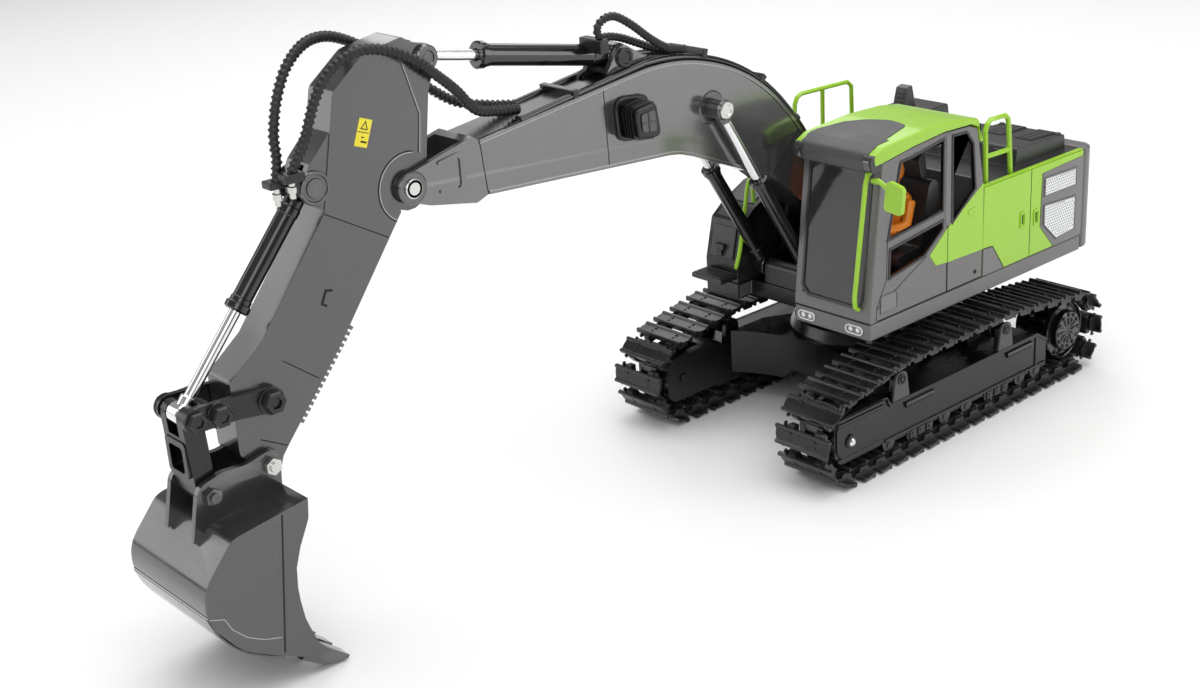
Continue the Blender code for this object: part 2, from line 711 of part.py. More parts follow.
def rails():
    """Bent green bars: the cab's grab rail, the ladder, the right guard rail and the mirror's arm."""
    grab = [(70.6, 66.5, 173.5), (73.6, 65.6, 171.5), (74.6, 64.8, 166), (80.6, 61.8, 100), (80.4, 62, 94.5)]
    tube("cab_handrail", [*grab, (78, 62.6, 92.4)], 1.5, GREEN_PLASTIC, HOUSE)
    z = SIDE_TOP_Z + GAP
    y = LEFT_Y - 6
    ladder = [(-36.5, y, z), (-35, y, 172), (-37, y, 176), (-40, y, 177.8), (-54, y, 177.4), (-57, y, 175)]
    rail = tube("ladder_rail", [*ladder, (-58, y, 170), (-61, y, z)], 1.6, GREEN_PLASTIC, HOUSE)
    join(rail, rod("ladder_rung", (-35.7, y, 156), (-59.6, y, 155.4), 1.5, sides=10))
    y = RIGHT_Y + 3
    guard = [
        (-4, y, z), (-6, y, 176), (-8, y, 180), (-12, y, 181.6), (-56, y, 180.4), (-60, y, 177),
        (-61, y, z),
    ]
    rail = tube("right_handrail", guard, 1.5, GREEN_PLASTIC, HOUSE)
    join(rail, rod("right_handrail_post", (-32, y, z), (-32, y, 181), 1.4, sides=10))
    arm = [(69.4, 68.4, 166.5), (75, 70.6, 169), (77, 76, 170.6), (78, 82, 168.4), (78, 86, 165)]
    mirror = tube("mirror", arm, 1.5, GREEN_PLASTIC, HOUSE)
    plate = [(81.5, 155.5, 2), (93.5, 154, 2), (95, 170, 3), (83, 173, 3)]
    join(mirror, slab("mirror_plate", plate, 76.6, 79.4, plane="YZ"))


def electronics():
    """What the house holds: the battery pack, the receiver board on its tray and the slew motor."""
    z = DECK_Z[1] + GAP
    box("battery_pack", (-112, -38, z), (-56, 34, z + 24), DARK_PLASTIC, HOUSE)
    box("circuit_board", (-104, -30, z + 30), (-62, 26, z + 31.6), GREEN_PLASTIC, HOUSE)
    can = rod("slew_motor", (-28, 0, z), (-28, 0, z + 30), 8, SILVER_METAL, HOUSE, 16)
    return join(can, box("slew_motor_foot", (-40, -8.5, z), (-16, 8.5, z + 3)))


def house():
    house_deck()
    boom_bracket()
    cab()
    cab_roof()
    windshield()
    seat()
    driver()
    side_panel_left()
    side_panel_right()
    engine_hood()
    air_box()
    exhaust_stack()
    counterweight()
    toolbox()
    rails()
    electronics()


# ---------------------------------------------------------------- digging gear
def boom():
    """The goose-neck box beam, forked at the arm and carrying the arm cylinder's lugs."""
    pivot, foot = ARM_PIVOT, BOOM_FOOT
    outline = [
        *arc(pivot, 7.4, -50, 65, 5), (294, 232), (290, 229.4), (157, 245.6, 130),
        (94, 226, 130), (60, 188.4, 150),
        (33.5, 151, 12), *arc(foot, 11.5, 160, 300, 5), (63, 144.5, 20), (83, 161, 60), (155, 192, 60),
        (287, 201), (294, 198.4), (322, 204, 20),
    ]
    beam = slab("boom", outline, BOOM_Y - BOOM_HALF, BOOM_Y + BOOM_HALF, GREY_METALLIC, BOOM)
    slot = [(299, 190), (360, 190), (360, 245), (306, 245), (299, 238)]
    cut(beam, slab("boom_fork", slot, BOOM_Y - ARM_HALF - 0.4, BOOM_Y + ARM_HALF + 0.4))
    for name, point, radius in (("foot", foot, 3.8), ("cylinder", CYLINDER_PIN, 3.3), ("arm", pivot, 3.8)):
        cut(beam, across(f"boom_{name}_bore", point, BOOM_HALF + 3, radius))
    cut(beam, across("boom_eye_clearance", ARM_CYLINDER_FOOT, 6.6, 10.2))
    lug = [(207, 236), *arc(ARM_CYLINDER_FOOT, 6.3, 40, 130, 4), (165, 243), (165, 238)]
    for i, sign in enumerate((1, -1)):
        y0, y1 = sorted((BOOM_Y + sign * 6.6, BOOM_Y + sign * 9.8))
        join(beam, slab(f"boom_lug{i}", lug, y0, y1))
    join(beam, across("boom_lug_pin", ARM_CYLINDER_FOOT, 10.8, 2.4))
    return beam


def work_light():
    """The lamp on the boom's left flank."""
    side = BOOM_Y + BOOM_HALF + GAP
    lamp = slab("work_light", [(180, 209, 3), (196, 211, 3), (198, 226, 3), (183, 228, 3)], side, side + 13,
                DARK_PLASTIC, BOOM)
    base = [(176, 206, 6), (200, 208, 6), (202, 232, 6), (178, 230, 6)]
    return join(lamp, slab("work_light_base", rounded(base), side, side + 2))


def boom_cylinder_pin():
    pin = across("boom_cylinder_pin", CYLINDER_PIN, 25.2, 2.9, SILVER_METAL, BOOM)
    for i, sign in enumerate((1, -1)):
        y0, y1 = sorted((BOOM_Y + sign * 24.6, BOOM_Y + sign * 25.6))
        join(pin, rod(f"boom_pin_head{i}", at(CYLINDER_PIN, y0), at(CYLINDER_PIN, y1), 4.4))
    return pin


def arm_pivot_pin():
    half = BOOM_HALF + 0.3
    pin = across("arm_pivot_pin", ARM_PIVOT, half + 1, 3.4, SILVER_METAL, BOOM)
    for i, sign in enumerate((1, -1)):
        y0, y1 = sorted((BOOM_Y + sign * half, BOOM_Y + sign * (half + 1.5)))
        join(pin, rod(f"arm_pivot_head{i}", at(ARM_PIVOT, y0), at(ARM_PIVOT, y1), 4.6))
    return pin


def barrel(name, foot, pin, y, radius, length, eye, parent, finish, bore, rod_radius, half=4.2):
    """A cylinder barrel: an eye at its foot, a hollow tube and a collar at the mouth."""
    start, end = at(foot, y), at(pin, y)
    inside = rod_radius + 0.5
    collar = radius + 1.3
    profile = [
        (inside, length), (collar, length), (collar, length - 4), (radius, length - 5), (radius, eye + 1),
        (radius - 1.5, eye - 1.5), (0, eye - 1.5), (0, eye + 4), (inside, eye + 4),
    ]
    tube_body = turned(name, profile, start, end, finish, parent, 16, True)
    ring = across(name + "_eye", foot, half, eye, middle=y, sides=20)
    join(tube_body, ring)
    return cut(tube_body, across(name + "_bore", foot, half + 4, bore, middle=y))


def piston_rod(name, foot, pin, y, radius, reach, eye, half, parent, bore, finish):
    """A piston rod that reaches back into its barrel, with an eye at its pin."""
    back = along(pin, foot, reach)
    front = along(pin, foot, eye - 1)
    shaft = rod(name, at(back, y), at(front, y), radius, finish, parent)
    join(shaft, across(name + "_eye", pin, half, eye, middle=y, sides=20))
    return cut(shaft, across(name + "_bore", pin, half + 4, bore, middle=y))


def boom_cylinders():
    for sign, word in ((1, "left"), (-1, "right")):
        y = BOOM_Y + sign * CYLINDER_Y
        axis = empty(f"{word}_boom_cylinder_axis", *at(CYLINDER_PIN, y), BOOM)
        foot, pin = CYLINDER_FOOT, CYLINDER_PIN
        piston_rod(f"boom_rod_{word}", foot, pin, y, 2.6, 108, 5.6, 5.2, axis, 3.2, SILVER_METAL)
        barrel(f"boom_cylinder_{word}", foot, pin, y, 4.3, 85, 7.2, axis, BLACK_METAL, 4.9, 2.6, 3.8)


def arm_cylinder():
    axis = empty("arm_cylinder_axis", *at(ARM_CYLINDER_PIN, BOOM_Y), ARM)
    foot, pin = ARM_CYLINDER_FOOT, ARM_CYLINDER_PIN
    piston_rod("arm_rod", foot, pin, BOOM_Y, 2.7, 102.5, 5.6, 4.3, axis, 2.9, SILVER_METAL)
    return barrel("arm_cylinder", foot, pin, BOOM_Y, 5.6, 90, 7.0, axis, BLACK_METAL, 5.2, 2.7, 5.8)


def arm():
    """The stick: a box beam with ears for the arm cylinder, the bucket cylinder and the bucket's links."""
    outline = [
        *arc(ARM_CYLINDER_PIN, 6.6, 205, 90, 5), (322, 283), (327, 286.5, 3),
        (349, 282.5, 6), (367.5, 268.5, 5),
        (379.5, 214), (421, 163), (440, 148.5, 3), (440, 112, 3), *arc(BUCKET_PIVOT, 7.2, 20, -150, 7),
        (412.5, 110.5), (380, 147.5), (337, 204), *arc(ARM_PIVOT, 11.5, -60, -170, 5),
        (319, 229), (314.6, 258),
    ]
    beam = slab("arm", outline, BOOM_Y - ARM_HALF, BOOM_Y + ARM_HALF, GREY_METALLIC, ARM)
    ear = [(370, 252), (384, 238, 3), *arc(BUCKET_CYLINDER_FOOT, 6, 40, -60, 5), (377, 214), (368, 225)]
    join(beam, slab("arm_ears", ear, BOOM_Y - 9.4, BOOM_Y + 9.4))
    cut(beam, across("arm_ear_gap", BUCKET_CYLINDER_FOOT, 5.4, 10.5))
    gap = [(300, 262), (323.5, 262), (323.5, 290), (300, 290)]
    cut(beam, slab("arm_rod_gap", gap, BOOM_Y - 4.9, BOOM_Y + 4.9))
    join(beam, across("arm_rod_pin", ARM_CYLINDER_PIN, ARM_HALF + 2.4, 2.4))
    join(beam, across("arm_ear_pin", BUCKET_CYLINDER_FOOT, ARM_HALF + 1, 2.2))
    bores = (("pivot", ARM_PIVOT, 3.8), ("rocker", ROCKER_PIVOT, 3.2), ("bucket", BUCKET_PIVOT, 3.3))
    for name, point, radius in bores:
        cut(beam, across(f"arm_{name}_bore", point, ARM_HALF + 3, radius))
    return beam


def rocker_link():
    """Two plates beside the arm, joined by their pins and a cross tube."""
    inner, outer = ARM_HALF + 0.5, ARM_HALF + 3.5
    outline = [
        *arc(ROCKER_PIVOT, 6.2, 95, 265, 7), (440, 131.5, 20), *arc(ROCKER_TIP, 6.0, -85, 85, 7),
        (440, 143, 20),
    ]
    link = slab("rocker_link", outline, BOOM_Y + inner, BOOM_Y + outer, BLACK_PLASTIC, ROCKER)
    join(link, slab("rocker_far_plate", outline, BOOM_Y - outer, BOOM_Y - inner))
    join(link, across("rocker_tube", (449.3, 137.2), outer + 4.1, 3.4, sides=13))
    join(link, across("rocker_rear_pin", ROCKER_PIVOT, outer + 3.6, 2.9, sides=15))
    return join(link, across("rocker_front_pin", ROCKER_TIP, outer + 2.4, 2.6, sides=15))


def push_link():
    """The short box link from the rocker's tip to the bucket's front pin."""
    tip, pin = ROCKER_TIP, BUCKET_LINK_PIN
    outline = [*arc(tip, 5.2, 0, 180, 7), (455, 122, 10), *arc(pin, 5.0, 180, 360, 7), (465.5, 120, 10)]
    link = slab("push_link", outline, BOOM_Y - ARM_HALF, BOOM_Y + ARM_HALF, BLACK_PLASTIC, LINK)
    rear, front, low = tip[0] - 12, tip[0] + 12, tip[1] - 9
    clear = [(rear, low, 5), (front, low, 5), (front, 150), (rear, 150)]
    cut(link, slab("link_fork_gap", clear, BOOM_Y - 4.9, BOOM_Y + 4.9))
    window = [(BOOM_Y - 6, 111, 2), (BOOM_Y + 6, 111, 2), (BOOM_Y + 6, 124, 2), (BOOM_Y - 6, 124, 2)]
    cut(link, slab("link_window", window, 440, 480, plane="YZ"))
    cut(link, across("link_tip_bore", tip, 14, 2.9), across("link_pin_bore", pin, 14, 3.9))
    return link


def bucket_cylinder():
    foot, pin = BUCKET_CYLINDER_FOOT, ROCKER_TIP
    axis = empty("bucket_cylinder_axis", *at(ROCKER_TIP, BOOM_Y), ROCKER)
    piston_rod("bucket_rod", foot, pin, BOOM_Y, 2.7, 96.5, 5.2, 4.4, axis, 2.9, SILVER_METAL)
    return barrel("bucket_cylinder", foot, pin, BOOM_Y, 4.7, 66, 7.0, axis, BLACK_METAL, 4.8, 2.7, 4.6)


def bucket():
    """The digging bucket: shell, side plates, five teeth and the two ears."""
    wall = 2.2
    low, high = BOOM_Y - BUCKET_HALF, BOOM_Y + BUCKET_HALF
    outline = [
        (422, 92), (463.5, 86.5, 10), (481.5, 66, 18), (481, 50, 18),
        (466, 29.5, 30), (446, 18, 20), (431, 10.5),
        (424.5, 12.5), (432.5, 32, 60), (434, 60, 40), (423, 82, 6),
    ]
    shell = slab("bucket", outline, low, high, GREY_METALLIC, BUCKET)
    inside = [
        (400, 88.6), (462, 83.6, 8), (478.8, 65, 15), (478.4, 51, 15), (464, 31.5, 28), (445, 20.4, 20),
        (424, 11.8), (400, 11.8),
    ]
    cut(shell, slab("bucket_inside", inside, low + wall, high - wall))
    tooth = [(437, 11.5), (431, 14.6), (424, 13.4), (410.6, 2.4), (411.6, 1.0), (425, 3.4, 6)]
    for i in range(5):
        middle = BOOM_Y + (i - 2) * (BUCKET_HALF - 4.6) / 2
        join(shell, slab(f"bucket_tooth{i}", tooth, middle - 4.4, middle + 4.4))
    ear = [
        (423, 88), (422, 100), *arc(BUCKET_PIVOT, 7.4, 165, 75, 4), (440, 108.6, 20), (452, 109.6, 6),
        *arc(BUCKET_LINK_PIN, 7.6, 80, 15, 4), (471.5, 80), (440, 86),
    ]
    for i, sign in enumerate((1, -1)):
        y0, y1 = sorted((BOOM_Y + sign * (ARM_HALF + 0.5), BOOM_Y + sign * (ARM_HALF + 3.7)))
        join(shell, slab(f"bucket_ear{i}", ear, y0, y1))
        y0, y1 = sorted((BOOM_Y + sign * (ARM_HALF + 3), BOOM_Y + sign * (ARM_HALF + 6.6)))
        join(shell, rod(f"bucket_nut{i}", at(BUCKET_LINK_PIN, y0), at(BUCKET_LINK_PIN, y1), 4.4, sides=6))
    join(shell, across("bucket_link_pin", BUCKET_LINK_PIN, ARM_HALF + 8, 2.5))
    return cut(shell, across("bucket_pivot_bore", BUCKET_PIVOT, ARM_HALF + 5, 3.3))


def bucket_pin():
    half = ARM_HALF + 4.0
    pin = across("bucket_pin", BUCKET_PIVOT, half + 4.2, 2.5, SILVER_METAL, BUCKET)
    for i, sign in enumerate((1, -1)):
        y0, y1 = sorted((BOOM_Y + sign * half, BOOM_Y + sign * (half + 3)))
        join(pin, rod(f"bucket_pin_nut{i}", at(BUCKET_PIVOT, y0), at(BUCKET_PIVOT, y1), 4.4, sides=6))
    return pin


HOSE_R = 2.4
NEAR_HOSE = [
    (258, -6, 236.8), (272, -5, 239), (287, -2, 243.4), (300, 1, 256), (313, 4, 266.5), (325, 4.8, 276),
    (339, 4.4, 283), (355, 3.4, 285.6), (370, 2, 279), (379, 1.4, 267),
    (386, 1.4, 252), (391, 0.6, 243), (395, 0, 236.4),
]
FAR_HOSE = [
    (252, -16, 236.4), (266, -20, 238.6), (282, -24, 243), (297, -26, 253),
    (312, -26.5, 264), (330, -26, 278),
    (345, -24, 286.6), (358, -21, 290.4), (371, -17, 289), (383, -13, 281),
    (391, -11, 268), (395, -10.5, 253),
    (396, -9, 242), (399, -7, 232),
]


def hoses():
    """The two hydraulic hoses that loop from the boom's top over the arm's elbow."""
    for name, route in (("near_hose", NEAR_HOSE), ("far_hose", FAR_HOSE)):
        tube(name, smooth_path(route, 8), HOSE_R, BLACK_RUBBER, BOOM, 1)


def digging_gear():
    boom()
    work_light()
    boom_cylinder_pin()
    arm_pivot_pin()
    boom_cylinders()
    arm()
    arm_cylinder()
    rocker_link()
    push_link()
    bucket_cylinder()
    bucket()
    bucket_pin()
    hoses()


clear_scene()
PARTS = collection("toy_excavator")
CUTTERS = collection("cutters")
ROOT_MATRIX = Matrix.Translation(Vector((SLEW_X, SLEW_Y, 0)) * MM)

GREEN_PLASTIC = material("green_plastic", GREEN, 0.3)
GREY_PLASTIC = material("grey_plastic", GREY, 0.4)
DARK_PLASTIC = material("dark_plastic", (0.05, 0.05, 0.052), 0.45)
GREY_METALLIC = material("grey_metallic", LIGHT_GREY, 0.3, 0.4)
BLACK_PLASTIC = material("black_plastic", BLACK, 0.4)
BLACK_RUBBER = material("black_rubber", BLACK, 0.7)
BLACK_METAL = material("black_metal", BLACK, 0.25)
ORANGE_PLASTIC = material("orange_plastic", ORANGE, 0.35)
SILVER_METAL = material("silver_metal", SILVER, 0.2, 1.0)
GLASS = material("tinted_glass", (0.05, 0.05, 0.05), 0.1, 0.0, 0.6)

EXCAVATOR = empty("excavator", 0, 0, 0)
UNDER = empty("undercarriage", 0, 0, 0, EXCAVATOR)
HOUSE = empty("slew_axis", 0, 0, 70, EXCAVATOR)
BOOM = empty("boom_axis", *at(BOOM_FOOT, BOOM_Y), HOUSE)
ARM = empty("arm_axis", *at(ARM_PIVOT, BOOM_Y), BOOM)
ROCKER = empty("rocker_axis", *at(ROCKER_PIVOT, BOOM_Y), ARM)
LINK = empty("push_link_axis", *at(ROCKER_TIP, BOOM_Y), ROCKER)
BUCKET = empty("bucket_axis", *at(BUCKET_PIVOT, BOOM_Y), ARM)

undercarriage()
house()
digging_gear()
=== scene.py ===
"""The looks of the toy excavator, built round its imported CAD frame.

Places are in millimetres from the slew axis at ground level, with +X towards the
bucket, +Y to the machine's left and +Z up. world() turns them into the frame's
metres.
"""

import json
import math

import bmesh
import bpy
from mathutils import Matrix, Vector

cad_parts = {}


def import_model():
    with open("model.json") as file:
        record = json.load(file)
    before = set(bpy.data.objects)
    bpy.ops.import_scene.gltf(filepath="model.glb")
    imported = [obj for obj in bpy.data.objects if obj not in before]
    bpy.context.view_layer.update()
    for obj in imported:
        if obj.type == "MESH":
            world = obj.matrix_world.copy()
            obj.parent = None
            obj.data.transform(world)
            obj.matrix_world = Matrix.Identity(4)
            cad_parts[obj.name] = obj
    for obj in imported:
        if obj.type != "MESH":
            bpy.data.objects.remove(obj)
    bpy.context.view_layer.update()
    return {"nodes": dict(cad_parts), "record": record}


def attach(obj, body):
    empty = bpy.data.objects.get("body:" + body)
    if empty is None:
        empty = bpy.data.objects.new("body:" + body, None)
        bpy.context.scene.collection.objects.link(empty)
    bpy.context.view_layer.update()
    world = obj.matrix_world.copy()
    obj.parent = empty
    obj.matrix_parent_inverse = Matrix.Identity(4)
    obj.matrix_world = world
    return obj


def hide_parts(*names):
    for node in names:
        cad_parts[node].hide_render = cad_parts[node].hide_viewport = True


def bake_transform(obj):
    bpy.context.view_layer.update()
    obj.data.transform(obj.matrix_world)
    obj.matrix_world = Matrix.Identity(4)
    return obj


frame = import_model()

MM = 0.001
SLEW_X, SLEW_Y = -169.14, -3.63
TO_WORLD = Matrix.Translation(Vector((SLEW_X, SLEW_Y, 0)) * MM) @ Matrix.Diagonal((MM, MM, MM, 1))

BOOM_Y = -11.0
BOOM_HALF = 13.4
ARM_HALF = 10.0
LEFT_Y, RIGHT_Y = 70.0, -63.0
TRACK_Y = 67.5
AXLE_X, AXLE_Z = 106.5, 27.8
PITCH_R = 20.5
CARRIER_X, CARRIER_Z, CARRIER_R = (62.0, -38.0), 49.6, 7.0
TRACK_FACE = 80.0
SHOES, SHOE_HALF, BELT_GAP = 38, 20.0, 0.3
COVER_TOP = 140.0
BUCKET_HALF = 34.7
LUG_INNER = 6.6
SIDES = (("left", 1), ("right", -1))

CYLINDER_FOOT, CYLINDER_PIN = (56.0, 93.5), (130.0, 212.0)
ARM_PIVOT = (331.5, 215.0)
ARM_CYLINDER_FOOT, ARM_CYLINDER_PIN = (189.0, 250.5), (315.0, 274.5)
BUCKET_CYLINDER_FOOT = (383.0, 227.0)
ROCKER_PIVOT, ROCKER_TIP = (422.0, 135.0), (461.0, 138.0)
BUCKET_PIVOT, BUCKET_LINK_PIN = (427.0, 104.0), (459.0, 100.0)


def world(x, y, z):
    return TO_WORLD @ Vector((x, y, z))


# ---------------------------------------------------------------- materials
def finish(
    name, colour, roughness=0.4, metallic=0.0, coat=0.0, grain=0.0, grain_size=900.0, mottle=0.0,
    smudge=0.06, alpha=1.0, transmission=0.0, edge_highlight_strength=0.0,
):
    """A moulded plastic or metal: fine grain in its bump, smudges in its gloss, mottling in its colour
    and a painted highlight on its sharp edges."""
    made = bpy.data.materials.new(name)
    made.use_nodes = True
    tree = made.node_tree
    nodes, links = tree.nodes, tree.links
    shader = nodes["Principled BSDF"]
    shader.inputs["Metallic"].default_value = metallic
    shader.inputs["Coat Weight"].default_value = coat
    shader.inputs["Coat Roughness"].default_value = 0.08
    shader.inputs["Alpha"].default_value = alpha
    shader.inputs["Transmission Weight"].default_value = transmission
    place = nodes.new("ShaderNodeTexCoord")

    def noise(scale, detail=4.0):
        made_noise = nodes.new("ShaderNodeTexNoise")
        made_noise.inputs["Scale"].default_value = scale
        made_noise.inputs["Detail"].default_value = detail
        links.new(place.outputs["Object"], made_noise.inputs["Vector"])
        return made_noise.outputs["Fac"]

    def spread(source, low, high):
        ramp = nodes.new("ShaderNodeMapRange")
        ramp.inputs["From Min"].default_value = 0.3
        ramp.inputs["From Max"].default_value = 0.7
        ramp.inputs["To Min"].default_value = low
        ramp.inputs["To Max"].default_value = high
        links.new(source, ramp.inputs["Value"])
        return ramp.outputs["Result"]

    gloss = spread(noise(38.0), max(0.02, roughness - smudge), roughness + smudge)
    links.new(gloss, shader.inputs["Roughness"])
    mix = nodes.new("ShaderNodeMix")
    mix.data_type = "RGBA"
    mix.inputs["A"].default_value = (*[c * (1 - mottle) for c in colour], 1)
    mix.inputs["B"].default_value = (*[min(1.0, c * (1 + mottle)) for c in colour], 1)
    links.new(spread(noise(grain_size * 0.4, 2.0), 0, 1), mix.inputs["Factor"])
    out = mix.outputs["Result"]
    # Painted highlight: sharp convex edges are mixed towards a paler colour, standing for the light they
    # catch.
    if edge_highlight_strength:
        geometry = nodes.new("ShaderNodeNewGeometry")
        edge = nodes.new("ShaderNodeMapRange")
        edge.inputs["From Min"].default_value = 0.53
        edge.inputs["From Max"].default_value = 0.62
        edge.inputs["To Max"].default_value = edge_highlight_strength
        links.new(geometry.outputs["Pointiness"], edge.inputs["Value"])
        edge_highlight_mix = nodes.new("ShaderNodeMix")
        edge_highlight_mix.data_type = "RGBA"
        edge_highlight_mix.inputs["B"].default_value = (*[min(1.0, c * 1.8 + 0.03) for c in colour], 1)
        links.new(edge.outputs["Result"], edge_highlight_mix.inputs["Factor"])
        links.new(out, edge_highlight_mix.inputs["A"])
        out = edge_highlight_mix.outputs["Result"]
    links.new(out, shader.inputs["Base Color"])
    if grain:
        bump = nodes.new("ShaderNodeBump")
        bump.inputs["Strength"].default_value = grain
        bump.inputs["Distance"].default_value = 0.0001
        links.new(noise(grain_size, 3.0), bump.inputs["Height"])
        links.new(bump.outputs["Normal"], shader.inputs["Normal"])
    return made


GUNMETAL = finish("gunmetal", (0.108, 0.105, 0.107), 0.20, 0.80, 0.45, 0.02, 2200, 0.07, 0.05, edge_highlight_strength=0.35)
# The boom's copy of the gunmetal is painted lighter than the arm's: a painted highlight for the brighter
# reflection on the boom's sides.
LIGHTER_BOOM_METAL = finish(
    "boom_gunmetal_painted_lighter", (0.172, 0.168, 0.170), 0.17, 0.80, 0.55, 0.02, 2200, 0.07, 0.05, edge_highlight_strength=0.35,
)
# Painted highlight: a pale metal for thin strips along ridges and rims, standing for the light their rounded
# edges catch.
PAINTED_HIGHLIGHT = finish("painted_highlight_strip", (0.36, 0.355, 0.36), 0.22, 0.85, 0.2, 0.02, 2200, 0.05, 0.04)
GREY = finish("house_grey", (0.135, 0.130, 0.130), 0.34, 0.05, 0.15, 0.08, 1500, 0.05, edge_highlight_strength=0.25)
ROOF_GREY = finish("roof_grey", (0.070, 0.068, 0.069), 0.50, 0.0, 0.0, 0.10, 1500, 0.05)
LIME = finish("lime", (0.31, 0.58, 0.022), 0.30, 0.0, 0.25, 0.05, 1200, 0.03, 0.04)
DARK = finish("dark_grey", (0.024, 0.024, 0.025), 0.34, 0.0, 0.1, 0.15, 1300, 0.08, edge_highlight_strength=0.3)
BLACK = finish("black_plastic", (0.003, 0.003, 0.0033), 0.24, 0.0, 0.0, 0.08, 1400, 0.10, edge_highlight_strength=0.5)
SHOE_BLACK = finish("shoe_black", (0.003, 0.003, 0.0033), 0.27, 0.0, 0.0, 0.30, 700, 0.2, 0.10, edge_highlight_strength=0.9)
GLOSS_BLACK = finish("gloss_black", (0.005, 0.005, 0.006), 0.14, 0.0, 0.5, 0.0, 900, 0.05, 0.03)
RUBBER = finish("hose_rubber", (0.008, 0.008, 0.008), 0.42, 0.0, 0.0, 0.2, 1500, 0.15)
CHROME = finish("chrome", (0.80, 0.80, 0.81), 0.14, 1.0, 0.0, 0.03, 1800, 0.03, 0.05)
STEEL = finish("screw_steel", (0.62, 0.62, 0.60), 0.24, 1.0, 0.0, 0.10, 1500, 0.06, 0.06)
SEAM = finish("seam_shadow", (0.003, 0.003, 0.003), 0.7)
ORANGE = finish("driver_orange", (0.95, 0.27, 0.008), 0.30, 0.0, 0.2, 0.10, 900, 0.04)
YELLOW = finish("yellow_patch", (0.80, 0.68, 0.03), 0.4, 0.0, 0.0, 0.0, 900, 0.04)
WHITE = finish("white_mesh", (0.80, 0.81, 0.82), 0.4, 0.0, 0.1, 0.05, 900, 0.03)
LENS = finish("lens", (0.82, 0.84, 0.86), 0.08, 0.0, 0.6, 0.0, 900, 0.05, 0.03)
SMOKE = finish("smoked_lens", (0.03, 0.03, 0.033), 0.07, 0.0, 0.8, 0.0, 900, 0.05, 0.02)
BOARD = finish("circuit_board", (0.01, 0.12, 0.04), 0.35, 0.0, 0.2, 0.2, 1200, 0.2)
TINT = finish("tinted_screen", (0.034, 0.033, 0.032), 0.10, 0.0, 0.5, 0.0, 900, 0.08, 0.03, alpha=0.86)


# ---------------------------------------------------------------- shapes
def rounded(corners, step=10.0):
    """An outline's points. A corner (a, b, r) becomes an arc of radius r."""
    points = []
    count = len(corners)
    for i, corner in enumerate(corners):
        here = Vector(corner[:2])
        radius = corner[2] if len(corner) > 2 else 0.0
        if not radius:
            points.append(here)
            continue
        before = (Vector(corners[i - 1][:2]) - here).normalized()
        after = (Vector(corners[(i + 1) % count][:2]) - here).normalized()
        angle = before.angle(after)
        back = radius / math.tan(angle / 2)
        centre = here + (before + after).normalized() * radius / math.sin(angle / 2)
        start, end = here + before * back - centre, here + after * back - centre
        sweep = start.angle_signed(end)
        steps = max(2, math.ceil(abs(math.degrees(sweep)) / step))
        for k in range(steps + 1):
            points.append(centre + Matrix.Rotation(-sweep * k / steps, 2) @ start)
    return points


def circle(centre, radius, sides=32):
    turns = [math.tau * k / sides for k in range(sides)]
    return [Vector((centre[0] + radius * math.cos(a), centre[1] + radius * math.sin(a))) for a in turns]


PLANES = {
    "XZ": Matrix.Rotation(math.radians(90), 4, "X"),
    "XY": Matrix.Identity(4),
    "YZ": Matrix(((0, 0, 1, 0), (1, 0, 0, 0), (0, 1, 0, 0), (0, 0, 0, 1))),
}
ACROSS = {"XZ": Vector((0, 1, 0)), "XY": Vector((0, 0, 1)), "YZ": Vector((1, 0, 0))}


def evaluated(obj):
    graph = bpy.context.evaluated_depsgraph_get()
    return bpy.data.meshes.new_from_object(obj.evaluated_get(graph))


def slab_mesh(corners, low, high, plane="XZ", holes=()):
    """A flat outline with a thickness, in millimetres."""
    curve = bpy.data.curves.new("outline", "CURVE")
    curve.dimensions = "2D"
    curve.fill_mode = "BOTH"
    curve.extrude = (high - low) / 2
    for outline in [rounded(corners), *holes]:
        spline = curve.splines.new("POLY")
        spline.points.add(len(outline) - 1)
        for point, (a, b) in zip(spline.points, outline):
            point.co = (a, b, 0, 1)
        spline.use_cyclic_u = True
    mesh = from_curve(curve)
    mesh.transform(Matrix.Translation(ACROSS[plane] * (low + high) / 2) @ PLANES[plane])
    return mesh


def from_curve(curve):
    obj = bpy.data.objects.new("curve", curve)
    bpy.context.scene.collection.objects.link(obj)
    mesh = evaluated(obj)
    bpy.data.objects.remove(obj)
    form = bmesh.new()
    form.from_mesh(mesh)
    bmesh.ops.remove_doubles(form, verts=form.verts, dist=0.001)
    bmesh.ops.recalc_face_normals(form, faces=form.faces)
    form.to_mesh(mesh)
    form.free()
    return mesh


def towards(start, end):
    start = Vector(start)
    turn = (Vector(end) - start).to_track_quat("Z", "Y").to_matrix().to_4x4()
    return Matrix.Translation(start) @ turn


def rod_mesh(start, end, radius, sides=32, end_radius=None):
    length = (Vector(end) - Vector(start)).length
    last = radius if end_radius is None else end_radius
    form = bmesh.new()
    bmesh.ops.create_cone(form, cap_ends=True, segments=sides, radius1=radius, radius2=last, depth=length)
    form.transform(towards(start, end) @ Matrix.Translation((0, 0, length / 2)))
    return to_mesh(form)


def box_mesh(low, high):
    form = bmesh.new()
    bmesh.ops.create_cube(form, size=1.0)
    size = Vector(high) - Vector(low)
    form.transform(Matrix.Translation(Vector(low) + size / 2) @ Matrix.Diagonal((*size, 1)))
    return to_mesh(form)


def ball_mesh(centre, radii, sides=20):
    form = bmesh.new()
    bmesh.ops.create_uvsphere(form, u_segments=sides, v_segments=sides // 2 + 2, radius=1)
    form.transform(Matrix.Translation(Vector(centre)) @ Matrix.Diagonal((*radii, 1)))
    return to_mesh(form)


def to_mesh(form):
    mesh = bpy.data.meshes.new("piece")
    form.to_mesh(mesh)
    form.free()
    return mesh


